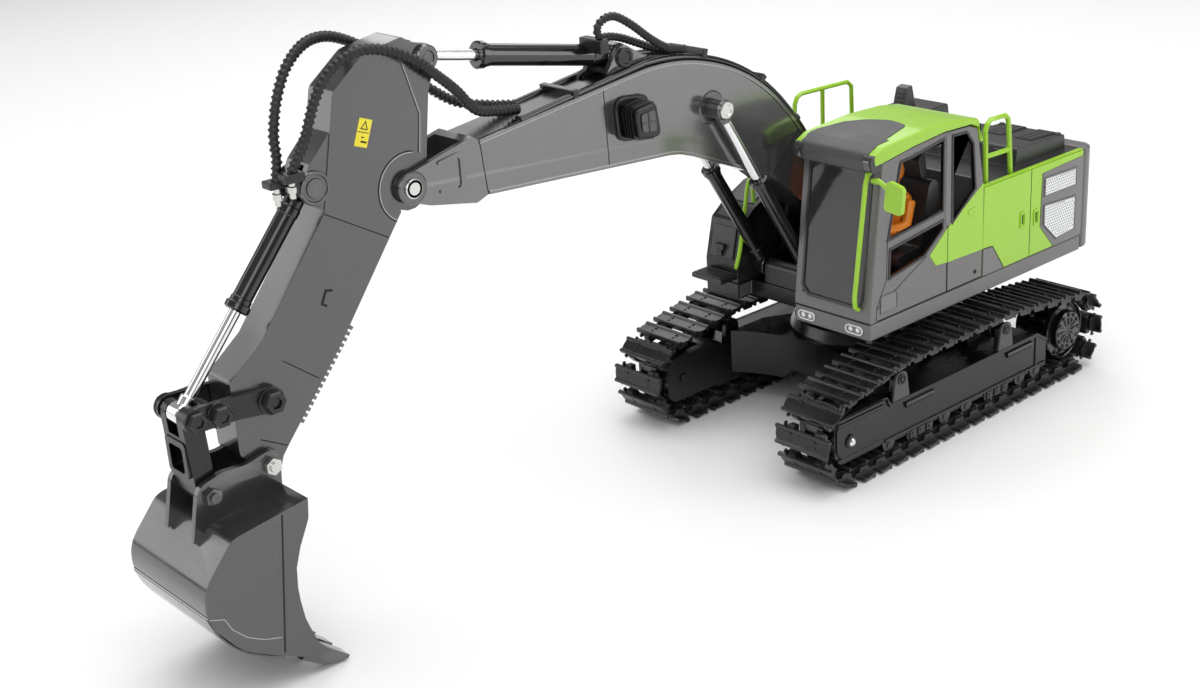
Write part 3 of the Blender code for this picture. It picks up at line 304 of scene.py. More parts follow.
def turned_mesh(profile, start, end, sides=48, closed=False):
    """(radius, height) points down the outer side, height counted from start to end."""
    form = bmesh.new()
    count = len(profile)
    rings = []
    for r, h in profile:
        if r < 1e-6:
            rings.append([form.verts.new((0, 0, h))] * sides)
            continue
        rings.append([form.verts.new((x, y, h)) for x, y in circle((0, 0), r, sides)])
    for i in range(count if closed else count - 1):
        a, b = rings[i], rings[(i + 1) % count]
        for k in range(sides):
            n = (k + 1) % sides
            corner = list(dict.fromkeys((a[k], b[k], b[n], a[n])))
            if len(corner) > 2:
                form.faces.new(corner)
    bmesh.ops.recalc_face_normals(form, faces=form.faces)
    form.transform(towards(start, end))
    return to_mesh(form)


def headings(points):
    """A line's direction at each of its points."""
    last = len(points) - 1
    return [(points[min(i + 1, last)] - points[max(i - 1, 0)]).normalized() for i in range(last + 1)]


def sweep_mesh(path, radii, sides=12):
    """A tube along a path, whose radius follows radii."""
    form = bmesh.new()
    rings = []
    normal = None
    for point, ahead, radius in zip(path, headings(path), radii):
        if normal is None:
            normal = ahead.orthogonal().normalized()
        normal = (normal - ahead * normal.dot(ahead)).normalized()
        other = ahead.cross(normal)
        turns = circle((0, 0), radius, sides)
        rings.append([form.verts.new(point + normal * a + other * b) for a, b in turns])
    for a, b in zip(rings, rings[1:]):
        for k in range(sides):
            form.faces.new((a[k], a[(k + 1) % sides], b[(k + 1) % sides], b[k]))
    form.faces.new(rings[0][::-1])
    form.faces.new(rings[-1])
    bmesh.ops.recalc_face_normals(form, faces=form.faces)
    return to_mesh(form)


def smooth_path(points, spacing):
    """Evenly spaced points of a smooth curve through the given ones."""
    places = [Vector(p) for p in points]
    ends = [2 * places[0] - places[1], *places, 2 * places[-1] - places[-2]]
    fine = []
    for i in range(1, len(ends) - 2):
        a, b, c, d = ends[i - 1 : i + 3]
        for k in range(12):
            t = k / 12
            square, cube = 2 * a - 5 * b + 4 * c - d, 3 * b - a - 3 * c + d
            fine.append(0.5 * (2 * b + (c - a) * t + square * t * t + cube * t**3))
    fine.append(places[-1])
    return even_path(fine, spacing)


def even_path(fine, spacing):
    lengths = [0.0]
    for a, b in zip(fine, fine[1:]):
        lengths.append(lengths[-1] + (b - a).length)
    count = max(2, round(lengths[-1] / spacing))
    out, i = [], 0
    for k in range(count + 1):
        want = lengths[-1] * k / count
        while i < len(fine) - 2 and lengths[i + 1] < want:
            i += 1
        part = (want - lengths[i]) / max(lengths[i + 1] - lengths[i], 1e-9)
        out.append(fine[i].lerp(fine[i + 1], part))
    return out


def joined(meshes):
    """Several meshes as one."""
    form = bmesh.new()
    for mesh in meshes:
        form.from_mesh(mesh)
    return to_mesh(form)


def piece(name, mesh, look, body, bevel=0.0, replaces=(), smooth=32, segments=2):
    """Puts a mesh, given in millimetres, in the scene on its body."""
    if isinstance(mesh, (list, tuple)):
        mesh = joined(mesh)
    mesh.transform(TO_WORLD)
    mesh.name = name
    mesh.materials.clear()
    mesh.materials.append(look)
    mesh.shade_smooth()
    mesh.set_sharp_from_angle(angle=math.radians(smooth))
    obj = bpy.data.objects.new(name, mesh)
    bpy.context.scene.collection.objects.link(obj)
    if bevel:
        rounding(obj, bevel, segments)
    if body:
        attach(obj, body)
    if replaces:
        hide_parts(*replaces)
    return obj


def rounding(obj, width, segments=2):
    modifier = obj.modifiers.new("Edges", "BEVEL")
    modifier.width = width * MM
    modifier.segments = segments
    modifier.limit_method = "ANGLE"
    modifier.angle_limit = math.radians(30)
    modifier.harden_normals = True
    modifier.use_clamp_overlap = True


NODE_BODY = {
    node: body for body, members in frame["record"]["behaviour"]["bodies"].items() for node in members
}


def finer(node, look, bevel=0.45, segments=2):
    """Stands for a CAD node: its own mesh, with the flat faces merged and the edges rounded."""
    form = bmesh.new()
    form.from_mesh(frame["nodes"][node].data)
    form.transform(TO_WORLD.inverted())
    bmesh.ops.remove_doubles(form, verts=form.verts, dist=0.004)
    bmesh.ops.dissolve_limit(
        form, angle_limit=math.radians(0.6), verts=form.verts, edges=form.edges, use_dissolve_boundaries=False
    )
    return piece(node + "_fine", to_mesh(form), look, NODE_BODY[node], bevel, (node,), segments=segments)



def at(point, y):
    return (point[0], y, point[1])


def across_mesh(point, low, high, radius, sides=32):
    return rod_mesh(at(point, low), at(point, high), radius, sides)


def rect(a, b, c, d, radius=0):
    """A rectangle's corners, from (a, b) to (c, d)."""
    return [(a, b, radius), (c, b, radius), (c, d, radius), (a, d, radius)]


def side_slab(corners, y, outward, inner, outer, holes=()):
    """An outline on a side face at y, as thick as from inner to outer beyond that face."""
    return slab_mesh(corners, *sorted((y + outward * inner, y + outward * outer)), holes=holes)


def cap(profile, point, y, outward, sides=40, closed=False):
    """A turned shape on a side face at y, its heights counted outward."""
    return turned_mesh(profile, at(point, y), at(point, y + outward), sides, closed)


def shifted(points, distance):
    """A line moved distance to its left."""
    return [p + Vector((-ahead.y, ahead.x)) * distance for p, ahead in zip(points, headings(points))]


def strip(line, width, low, high, side=1):
    """A flat band along a line of (x, z) points, width wide on one side of it."""
    points = [Vector(p) for p in line]
    return slab_mesh([*points, *reversed(shifted(points, width * side))], low, high)


def seam(line, y, outward, width=0.55, proud=0.07):
    """A dark parting line on a side face."""
    points = [Vector(p) for p in line]
    outline = [*shifted(points, width / 2), *reversed(shifted(points, -width / 2))]
    return side_slab(outline, y, outward, -0.2, proud)


def screw_head(name, point, y, outward, radius, body):
    """A round pin head with a ring and a crossed slot."""
    thick = 1.2
    profile = [
        (0, thick * 0.6), (radius * 0.56, thick * 0.6), (radius * 0.62, thick), (radius * 0.9, thick),
        (radius, thick * 0.7), (radius, -0.4), (0, -0.4),
    ]
    piece(name, cap(profile, point, y, outward), STEEL, body)
    slots = []
    for turn in (0.4, 0.4 + math.pi / 2):
        ahead = Vector((math.cos(turn), math.sin(turn))) * radius * 0.36
        line = [Vector(point) - ahead, Vector(point) + ahead]
        slots.append(seam(line, y + outward * thick * 0.6, outward, radius * 0.16, 0.05))
    piece(name + "_slot", slots, SEAM, body)


def combined(base, tool, operation):
    """The Boolean of two closed meshes."""
    first = bpy.data.objects.new("boolean_base", base)
    second = bpy.data.objects.new("boolean_tool", tool)
    for obj in (first, second):
        bpy.context.scene.collection.objects.link(obj)
    modifier = first.modifiers.new("Cut", "BOOLEAN")
    modifier.operation = operation
    modifier.object = second
    mesh = evaluated(first)
    bpy.data.objects.remove(first)
    bpy.data.objects.remove(second)
    return mesh


# ---------------------------------------------------------------- undercarriage
def tangent_angle(a, b):
    """The angle at which a band leaves wheel a for wheel b, each a (centre, radius)."""
    (p, r), (q, s) = a, b
    gap = q - p
    return math.atan2(gap.y, gap.x) - math.pi / 2 - math.asin((s - r) / gap.length)


def belt_frames(samples):
    """Evenly spaced (point, outward normal) pairs of the track's pitch line."""
    carrier = CARRIER_R + BELT_GAP
    wheels = [
        (Vector((AXLE_X, AXLE_Z)), PITCH_R),
        (Vector((CARRIER_X[0], CARRIER_Z)), carrier),
        (Vector((CARRIER_X[1], CARRIER_Z)), carrier),
        (Vector((-AXLE_X, AXLE_Z)), PITCH_R),
    ]
    loop = []
    for i, (centre, radius) in enumerate(wheels):
        first = tangent_angle(wheels[i - 1], (centre, radius))
        final = tangent_angle((centre, radius), wheels[(i + 1) % len(wheels)])
        sweep = (final - first) % math.tau
        for k in range(25):
            a = first + sweep * k / 24
            loop.append(centre + Vector((math.cos(a), math.sin(a))) * radius)
    loop.append(loop[0])
    length = sum((b - a).length for a, b in zip(loop, loop[1:]))
    points = even_path(loop, length / samples)[:-1]
    out = []
    for i, point in enumerate(points):
        ahead = (points[(i + 1) % samples] - points[i - 1]).normalized()
        out.append((point, Vector((ahead.y, -ahead.x))))
    return out


SHOE_PROFILE = [
    (-6.0, 4.5), (-6.0, 6.9), (-5.4, 7.3), (-4.2, 7.3), (-3.4, 6.2), (-0.4, 5.9), (2.6, 5.9), (3.4, 6.8),
    (4.6, 6.8), (5.2, 6.2), (5.0, 4.3), (3.8, 4.3), (3.2, 4.7), (-3.6, 4.7), (-4.4, 4.4),
]
LINK_PROFILE = [
    (-6.8, 4.6), (-6.8, 0.4), (-5.6, 0.2), (-4.0, -0.1), (3.0, -0.1), (4.4, 0.2), (6.8, 0.4), (6.8, 4.6),
]
RAIL_PROFILE = [
    (-7.4, 4.7), (-7.4, 2.6), (-4.8, 2.4), (-3.4, -0.2), (3.4, -0.2), (4.8, 2.4), (7.4, 2.6), (7.4, 4.7),
]


def shoe():
    """One track shoe with its two links, in its own frame: X along the belt, Y across, Z outwards."""
    form = bmesh.new()
    form.from_mesh(slab_mesh(SHOE_PROFILE, -SHOE_HALF, SHOE_HALF))
    for vert in form.verts:
        if vert.co.x < -3.0:
            vert.co.y *= 0.955
    parts = [to_mesh(form)]
    head = [(0, 0.7), (0.7, 0.65), (1.0, 0.3), (1.05, -0.5), (0, -0.5)]
    for sign in (1, -1):
        parts.append(side_slab(LINK_PROFILE, 0, sign, 7.6, 12.2))
        parts.append(side_slab(RAIL_PROFILE, 0, sign, 14.3, 15.4))
        parts.append(side_slab(circle((0.6, 0), 0.9, 6), 0, sign, 12.0, 12.7))
        for x in (-1.7, 1.6):
            parts.append(turned_mesh(head, (x, sign * 9.2, 5.9), (x, sign * 9.2, 6.9), 8))
    parts.append(box_mesh((-1.3, -7.8, -0.2), (1.3, 7.8, 4.8)))
    return joined(parts)


def track_shoes(word, side):
    quarter = belt_frames(SHOES * 4)
    one = shoe()
    form = bmesh.new()
    for k in range(SHOES):
        (p, n), (q, m) = quarter[4 * k + 1], quarter[4 * k + 2]
        (x, z), normal = (p + q) / 2, (n + m).normalized()
        place = Matrix((
            (-normal.y, 0, normal.x, x), (0, 1, 0, side * TRACK_Y), (normal.x, 0, normal.y, z), (0, 0, 0, 1),
        ))
        copy = one.copy()
        copy.transform(place)
        form.from_mesh(copy)
        bpy.data.meshes.remove(copy)
    bmesh.ops.recalc_face_normals(form, faces=form.faces)
    for vert in form.verts:
        vert.co.z = max(vert.co.z, 0.0)
    replaced, body = (f"track_belt_{word}",), "undercarriage"
    piece(f"track_shoes_{word}", to_mesh(form), SHOE_BLACK, body, 0.22, replaced, segments=1)
    middle = side * TRACK_Y
    pins = [across_mesh(p - n * 0.4, middle - 13.0, middle + 13.0, 1.15, 10) for p, n in quarter[::4]]
    piece(f"track_pins_{word}", pins, DARK, body)


def track_side(word, side):
    """Panels, brackets, bolts and strips on a track frame's outer face."""
    body = "undercarriage"
    finer(f"track_frame_{word}", BLACK, 0.5)

    def out(corners, inner, outer, holes=()):
        return side_slab(corners, side * TRACK_FACE, side, inner, outer, holes)

    ledge = [
        (-82, 28.6), (-70.6, 35.0), (-69.4, 35.0), (72, 35.0), (74.5, 39.4), (74.5, 41.0), (71, 37.4),
        (-70.4, 37.4), (-82, 30.4),
    ]
    rails = [out(ledge, -0.4, 1.3), out(rect(-81, 13.8, 76, 15.6), -0.4, 1.1)]
    rails.append(out(rect(-72, 14, -70, 36), -0.4, 0.9))
    piece(f"track_ledges_{word}", rails, BLACK, body, 0.5, segments=3)
    fork = [out([(77.5, 14.6), (112, 14.6, 6), (118.2, 22, 6), (118.2, 37.0, 2), (77.5, 37.0)], -0.4, 0.8)]
    for z, thick in ((38.2, 1.2), (40.8, 1.2), (16.8, 1.1)):
        fork.append(out(rect(77.5, z - 0.7, 117.6, z + 0.7), -0.3, thick))
    piece(f"idler_block_{word}", fork, BLACK, body, 0.35)
    brackets, bolts = [], []
    for x in CARRIER_X:
        centre = (x, CARRIER_Z)
        brackets.append(out([(x - 7.4, 37), (x + 7.4, 37), (x + 4.6, 54, 4), (x - 4.6, 54, 4)], -0.4, 0.9))
        bolts.append(out(circle(centre, 3.2), 0.6, 1.7, [circle(centre, 2.3)]))
        bolts.append(out(circle(centre, 1.6, 6), 0.6, 1.9))
    piece(f"carrier_brackets_{word}", brackets, ROOF_GREY, body, 0.3)
    piece(f"carrier_bolts_{word}", bolts, BLACK, body, 0.15)
    teeth = []
    for start in (32.0, -66.0):
        teeth.append(out(rect(start, 31.4, start + 26, 33.4), -0.2, 1.6))
        for k in range(12):
            x = start + 1.2 + 2.1 * k
            teeth.append(out(rect(x, 29.8, x + 1.0, 31.6), -0.2, 1.5))
    piece(f"step_strips_{word}", teeth, GLOSS_BLACK, body, 0.12, segments=1)
    guards = []
    for x in (44.0, -30.0):
        plate = [(x - 12, 8.6, 1.5), (x + 12, 8.6, 1.5), (x + 12, 14.2), (x - 12, 14.2)]
        guards.append(out(plate, -0.4, 0.5))
        for middle in (x - 7.6, x, x + 7.6):
            guards.append(out(rect(middle - 2.3, 9.2, middle + 2.3, 13.6), 0.3, 1.4))
            guards.append(out(circle((middle, 11.4), 1.1, 6), 1.2, 1.9))
    for x in (73.0, 21.0, 0.0, -54.0, -70.0):
        lobe = [(x - 5.6, 14.2), (x + 5.6, 14.2), (x + 4.2, 8.4, 3.4), (x - 4.2, 8.4, 3.4)]
        guards.append(out(lobe, -0.4, 0.7))
        guards.append(out(circle((x, 11.6), 1.9, 20), 0.5, 1.3))
    piece(f"roller_guards_{word}", guards, DARK, body, 0.25)
    spot, y = (AXLE_X + 0.5, AXLE_Z - 1.8), side * (TRACK_FACE + 0.5)
    washer = [(0, 1.6), (3.4, 1.6), (3.9, 1.1), (3.9, -0.5), (0, -0.5)]
    piece(f"idler_washer_{word}", cap(washer, spot, y, side, 48), BLACK, body)
    screw = [(0, 2.9), (1.6, 2.8), (2.4, 2.2), (2.5, 1.0), (0, 1.0)]
    piece(f"idler_screw_{word}", cap(screw, spot, y, side, 48), CHROME, body)


def sprocket_cover(word, side):
    """The drive's bolted cap, standing out of the flange."""
    body = f"sprocket_{word}"
    finer(body, BLACK, 0.35)
    centre, y = Vector((-AXLE_X, AXLE_Z)), side * (TRACK_Y + 6.6)
    dish = [
        (0, 5.0), (2.6, 5.0), (3.0, 5.8), (12.2, 5.8), (12.9, 5.2), (13.1, 1.0), (16.8, 0.3), (17.6, 0.4),
        (18.2, 2.5), (18.7, 2.8), (19.1, 2.4), (19.3, -1.2), (0, -1.2),
    ]
    piece(f"sprocket_dish_{word}", cap(dish, centre, y, side, 64), GLOSS_BLACK, body)
    stud = [(0, 7.0), (0.9, 6.9), (1.3, 6.4), (1.3, 5.4), (0, 5.4)]
    studs = []
    for turn in circle((0, 0), 1, 12):
        studs.append(cap(stud, centre + turn * 10.5, y, side, 12))
        edge = Vector((-turn.y, turn.x)) * 0.5
        near, far = centre + turn * 3.9, centre + turn * 8.2
        rib = [near - edge, far - edge * 1.6, far + edge * 1.6, near + edge]
        studs.append(side_slab(rib, y, side, 5.5, 6.5))
    piece(f"sprocket_studs_{word}", studs, DARK, body)


def chassis():
    """The X-shaped frame, its concave walls as true arcs."""
    reach, bow = 53.6, 93.0
    sweep = math.asin(reach / bow)
    turns = [sweep * (k / 24 - 1) for k in range(49)]
    wall = [(140 - bow * math.cos(a), bow * math.sin(a)) for a in turns]
    bay = [(34, reach), (9, 40, 6), (-9, 40, 6), (-34, reach)]
    plan = [*wall, *bay, *[(-x, -y) for x, y in wall], *[(-x, -y, *r) for x, y, *r in bay]]
    dome = [(0, 57), (39, 57), (42.5, 54), (45.6, 48), (45.6, 20), (0, 20)]
    mesh = combined(slab_mesh(plan, 18, 46, "XY"), turned_mesh(dome, (0, 0, 0), (0, 0, 1), 96), "UNION")
    arch = [(-26, 10), (26, 10), (18, 24, 6), (-18, 24, 6)]
    mesh = combined(mesh, slab_mesh(arch, -80, 80, "YZ"), "DIFFERENCE")
    piece("chassis_frame_fine", mesh, BLACK, "undercarriage", 0.7, ("chassis_frame",), smooth=20)


def undercarriage():
    for word, side in SIDES:
        track_shoes(word, side)
        track_side(word, side)
        sprocket_cover(word, side)
        finer(f"idler_{word}", BLACK, 0.3)
        finer(f"drive_motor_{word}", BLACK, 0.4)
        for spot in ("front", "rear"):
            finer(f"bottom_roller_{word}_{spot}", BLACK, 0.5)
            finer(f"carrier_roller_{word}_{spot}", BLACK, 0.5)
    chassis()
    finer("turntable_ring", BLACK, 0.4)
    studs = [rod_mesh((x, y, 64.0), (x, y, 66.0), 1.4, 6) for x, y in circle((0, 0), 36, 20)]
    studs += [rod_mesh((x, y, 67.5), (x, y, 73.0), 0.8, 6) for x, y in circle((0, 0), 38, 40)]
    piece("turntable_studs", studs, BLACK, "undercarriage")


# ---------------------------------------------------------------- house
FRONT_WINDOW = [(41, 174.6), (50.5, 174), (61.5, 131), (12, 136), (12, 178.6)]
LOW_WINDOW = [(59.5, 125), (60.5, 108), (29, 113), (12, 125), (12, 130)]
REAR_WINDOW = [(4, 178.6), (-9, 178), (-15.5, 170), (-18.5, 142), (3, 126.5)]
UPPER_GRILLE = [(-87.5, 132), (-122, 131), (-122, 119), (-87.5, 119.4)]
LOWER_GRILLE = [(-87.5, 114.6), (-122, 112.6), (-122, 90), (-101.6, 88.6), (-87.5, 101.4)]


def inset(corners, distance):
    """An outline drawn in by a distance on every side."""
    points = [Vector(c[:2]) for c in corners]
    area = sum(a.x * b.y - b.x * a.y for a, b in zip(points, points[1:] + points[:1]))
    sign = 1 if area > 0 else -1
    out = []
    for i, here in enumerate(points):
        u = (here - points[i - 1]).normalized()
        v = (points[(i + 1) % len(points)] - here).normalized()
        n, m = Vector((-u.y, u.x)) * sign, Vector((-v.y, v.x)) * sign
        bisector = (n + m).normalized()
        out.append(here + bisector * distance / max(0.3, bisector.dot(n)))
    return out


def inside(corners, x, z):
    """Whether a point lies within an outline."""
    hit = False
    for (ax, az), (bx, bz) in zip(corners, corners[1:] + corners[:1]):
        if (az > z) != (bz > z) and x < (bx - ax) * (z - az) / (bz - az) + ax:
            hit = not hit
    return hit


def grille(name, corners, y, outward):
    """A fine white mesh in a recessed frame."""
    pitch = 2.1
    columns, rows = zip(*corners)
    safe = inset(corners, 1.9)
    holes = []
    row, z = 0, min(rows) + 1.0
    while z < max(rows):
        x = min(columns) + pitch / 2 * (row % 2)
        while x < max(columns):
            if inside(safe, x, z):
                holes.append(circle((x, z), 0.62, 6))
            x += pitch
        z += pitch * 0.866
        row += 1
    rim = inset(corners, 1.0)
    piece(name, side_slab(rim, y, outward, -0.1, 0.35, holes), WHITE, "house")
    piece(name + "_back", side_slab(inset(corners, 0.6), y, outward, -0.2, 0.12), DARK, "house")
    piece(name + "_frame", side_slab(corners, y, outward, -0.2, 0.9, [rim]), GREY, "house", 0.2, segments=1)


def cab_sides():
    """Window rubbers, door lines and the coloured fields of the cab's left side."""
    y = LEFT_Y
    rubbers = []
    for corners in (FRONT_WINDOW, LOW_WINDOW, REAR_WINDOW):
        rubbers.append(side_slab(inset(corners, -0.9), y, 1, -1.6, 0.45, [inset(corners, 0.7)]))
    piece("cab_window_rubbers", rubbers, BLACK, "house", 0.15, segments=1)
    door = [(8, 124), (-26.2, 143.4), (-26.8, 102), (7, 103), (18, 104), (24, 111.6)]
    piece("cab_green_field", side_slab(door, y, 1, -0.3, 0.35), LIME, "house", 0.2, segments=1)
    lines = [
        seam([(7.4, 84.6), (7.4, 125.5)], y + 0.3, 1),
        seam([(-26.6, 84.6), (-26.6, 140)], y + 0.05, 1),
        seam([(70.5, 84.9), (-27, 84.9)], y, 1, 0.7),
        seam([(71.4, 85), (71.4, 92), (62.6, 108), (61.8, 131), (52, 173)], y, 1),
        seam([(71.2, 92), (30, 110.6), (26, 112.4)], y, 1),
        seam([(7.4, 128), (7.4, 180)], y, 1, 0.6),
    ]
    piece("cab_side_seams", lines, SEAM, "house")
    piece("cab_latch_mark", across_mesh((-19.7, 89.8), y - 0.2, y + 0.3, 1.3, 20), SEAM, "house")
    handle = [(-11.4, 127.2, 1.3), (-19.0, 128.0, 1.3), (-19.0, 131.0, 1.3), (-11.4, 130.2, 1.3)]
    piece("cab_door_handle", slab_mesh(handle, y, y + 0.8), LIME, "house", 0.2)
    piece("cab_door_bar", box_mesh((5.6, y - 1.4, 126), (9.8, y + 0.35, 180.6)), GREY, "house", 0.4)
    badge, window = rect(53, 88, 68, 99, 1), rounded(rect(53.7, 88.7, 67.3, 98.3, 0.6))
    badges = [side_slab(badge, y, 1, -0.3, 0.2), side_slab(badge, y, 1, -0.3, 0.5, [window])]
    piece("cab_blank_badge", badges, GREY, "house", 0.1, segments=1)


def cab_front():
    """The screen's frame, the visor with its two lamps, and the headlights."""
    body = "house"
    lean = math.atan(10.5 / 87.5)
    outer = [(17.8, 97, 3), (23, 91.6, 3), (59, 91.6, 3), (64.6, 97, 3), (64.6, 172, 2), (17.8, 172, 2)]
    inner = [
        (19.4, 97.6, 3), (23.6, 93.4, 3), (58.4, 93.4, 3), (62.8, 97.6, 3), (62.8, 170.4, 2),
        (19.4, 170.4, 2),
    ]
    edge = slab_mesh(outer, -0.3, 0.5, "YZ", [rounded(inner)])
    foot = Matrix.Translation((77, 0, 89))
    edge.transform(foot @ Matrix.Rotation(-lean, 4, "Y") @ Matrix.Translation((0, 0, -89)))
    piece("screen_frame", edge, DARK, body, 0.15, segments=1)
    visor = [
        (66.0, 175.9), (68.4, 171.8), (75.0, 173.0, 1.2), (76.6, 178.6, 2), (74.6, 183.2, 4),
        (66.0, 186.6, 12), (56.0, 187.2), (56.0, 178.6),
    ]
    piece("visor", slab_mesh(visor, 17.6, 66.0), ROOF_GREY, body, 0.9, segments=3)
    lamp = [(68, 172.4, 1.4), (75.4, 173.2, 2), (77.4, 179.6, 2), (75.6, 182.6, 2), (68, 183, 1.4)]
    lens = [(74.4, 174.4, 1), (76.2, 174.6), (77.9, 179.8), (76.4, 181.0, 1)]
    spans = ((14.2, 19.8), (64.4, 70.6))
    piece("visor_lamps", [slab_mesh(lamp, low, high) for low, high in spans], DARK, body, 0.7, segments=3)
    lenses = [slab_mesh(lens, low + 1.0, high - 1.0) for low, high in spans]
    piece("visor_lamp_lenses", lenses, SMOKE, body, 0.2)
    bulb = [(0, 0.9), (0.8, 0.7), (1.5, 0.2), (1.7, -0.3), (0, -0.3)]
    housing, glass, bulbs = [], [], []
    for y in (22.5, 58.5):
        oval = rounded(rect(y - 6.4, 76.4, y + 6.4, 81.8, 2.7))
        small = rounded(rect(y - 5.7, 77.0, y + 5.7, 81.2, 2.1))
        housing.append(slab_mesh(oval, 76.6, 77.9, "YZ", [small]))
        glass.append(slab_mesh(small, 76.6, 77.4, "YZ"))
        for across in (y - 2.6, y + 2.6):
            bulbs.append(turned_mesh(bulb, (77.2, across, 79.1), (78.2, across, 79.1), 20))
    piece("headlight_frames", housing, WHITE, body, 0.3)
    piece("headlight_glass", glass, GREY, body)
    piece("headlight_bulbs", bulbs, LENS, body)
    piece("cab_front_seam", box_mesh((77.0, 14, 84.5), (77.12, 69.6, 85.1)), SEAM, body)


def cab_roof_top():
    """The grey field on the roof's front."""
    field = [(69, 16.8), (69, 66.6), (30, 57.5, 6), (26, 43, 8), (33, 30, 8), (42, 21.5, 4), (60, 17)]
    profile = [
        (73.9, 176.4), (74.9, 182.5, 2), (66.1, 186.7, 8), (30, 188.8, 60), (0, 187.8, 40), (-19, 184),
        (-19, 178),
    ]
    mesh = combined(slab_mesh(field, 183.0, 190.6, "XY"), slab_mesh(profile, 12, 72), "INTERSECT")
    piece("roof_grey_field", mesh, ROOF_GREY, "house", 0.15, segments=1)


def side_cover(word, y, outward, front, lines, lip_end):
    """One side of the engine's cover: its grey fields, parting lines, grilles and top lip."""
    finer(f"{word}_side_panel", LIME, 0.5)
    rear = [(-86, 135), (-129.6, 136.6), (-129.6, 84.5), (-100, 84.5), (-85, 101)]
    fields = [side_slab(front, y, outward, -0.3, 0.3), side_slab(rear, y, outward, -0.3, 0.5)]
    piece(f"{word}_grey_fields", fields, GREY, "house", 0.2, segments=1)
    piece(f"{word}_cover_seams", lines, SEAM, "house")
    grille(f"{word}_upper_grille", UPPER_GRILLE, y + outward * 0.4, outward)
    grille(f"{word}_lower_grille", LOWER_GRILLE, y + outward * 0.4, outward)
    low, high = sorted((y - outward * 3.6, y - outward * 0.4))
    piece(f"{word}_cover_lip", box_mesh((-129.4, low, 140.2), (lip_end, high, 140.9)), LIME, "house", 0.3)


def left_cover():
    y = LEFT_Y
    corner = [(-27.4, 84.5), (-48, 84.5), (-36.6, 101), (-27.4, 101.6)]
    lines = [
        seam([(-74.6, 84.6), (-74.6, 140)], y, 1),
        seam([(-36.6, 101.3), (-48.6, 84.5)], y + 0.25, 1, 0.4),
        seam([(-27.4, 101.9), (-36.6, 101.3)], y + 0.25, 1, 0.4),
    ]
    side_cover("left", y, 1, corner, lines, -27.6)
    latches, dents = [], []
    for x, z in ((-66.5, 110.4), (-80.5, 108.6)):
        hole = rounded(rect(x - 1.5, z - 3.8, x + 1.5, z + 3.8, 0.7))
        latches.append(side_slab(rect(x - 2.6, z - 5, x + 2.6, z + 5, 1), y, 1, -0.3, 0.7, [hole]))
        dents.append(side_slab(rect(x - 0.5, z - 2.8, x + 0.5, z + 2.8), y, 1, -0.3, 0.2))
    piece("left_latches", latches, LIME, "house", 0.15, segments=1)
    piece("left_latch_slots", dents, SEAM, "house")


def right_cover():
    front = [(29.8, 84.5), (-14, 84.5), (-2, 101), (12, 101.6), (29.8, 122)]
    lines = [seam([(x, 84.6), (x, 139.6)], RIGHT_Y, -1) for x in (-74.6, -27.0)]
    side_cover("right", RIGHT_Y, -1, front, lines, 29.6)


def hood_top():
    """Lids, louvres, hinges and screws on the engine cover."""
    body = "house"
    finer("engine_hood", DARK, 0.7, 3)
    finer("air_cleaner_box", DARK, 1.0, 3)
    finer("exhaust_stack", DARK, 0.8, 3)
    louvres = []
    for k in range(8):
        x = -121 + 3.4 * k
        for y in (42, 20):
            louvres.append(box_mesh((x, y, 149.6), (x + 1.7, y + 13, 151.0 + 0.13 * k)))
    for x in (-116, -108, -100, -92, -84, -76):
        louvres.append(slab_mesh([(x, 146.6), (x + 4.2, 146.6), (x + 3.6, 147.6), (x + 0.6, 147.6)], -20, 7))
    piece("hood_louvres", louvres, DARK, body, 0.2, segments=1)
    places = [(-120, 15, 150.2), (-76, 15, 151.6), (-120, 57, 150.2), (-76, 57, 151.6)]
    for x, y in ((-34, 58), (-34, 20), (-68, 30), (-52, -8), (-12, -8), (24, -58), (-8, -58)):
        places.append((x, y, COVER_TOP))
    head = [(0, 1.0), (1.4, 0.9), (2.1, 0.3), (2.1, -0.8), (0, -0.8)]
    piece("hood_screws", [turned_mesh(head, (x, y, z), (x, y, z + 1), 20) for x, y, z in places], BLACK, body)
    seams = []
    for x0, y0, x1, y1 in ((-62.6, 12.8, -62.2, 65.4), (-128, -25.4, -2, -25.0), (-48, -58, -47.6, -26)):
        seams.append(box_mesh((x0, y0, COVER_TOP - 0.1), (x1, y1, COVER_TOP + 0.1)))
    piece("hood_seams", seams, SEAM, body)
    hinges = [across_mesh((-72.6, 148.6), y, y + 9, 1.5, 20) for y in (18.0, 44.0)]
    piece("hood_hinges", hinges, BLACK, body, 0.2)
    vents = [box_mesh((-68.6, -54, z), (-66.4, -31, z + 0.9)) for z in (143, 145, 147, 149, 151, 153)]
    piece("air_box_vents", vents, BLACK, body, 0.15, segments=1)
    mouth = []
    for k in range(4):
        z = 160.6 + 2.6 * k
        mouth.append(box_mesh((-89.0, -45.0, z), (-84.4 - 0.7 * k, -38.0, z + 1.3)))
    piece("stack_louvres", mouth, BLACK, body, 0.2, segments=1)


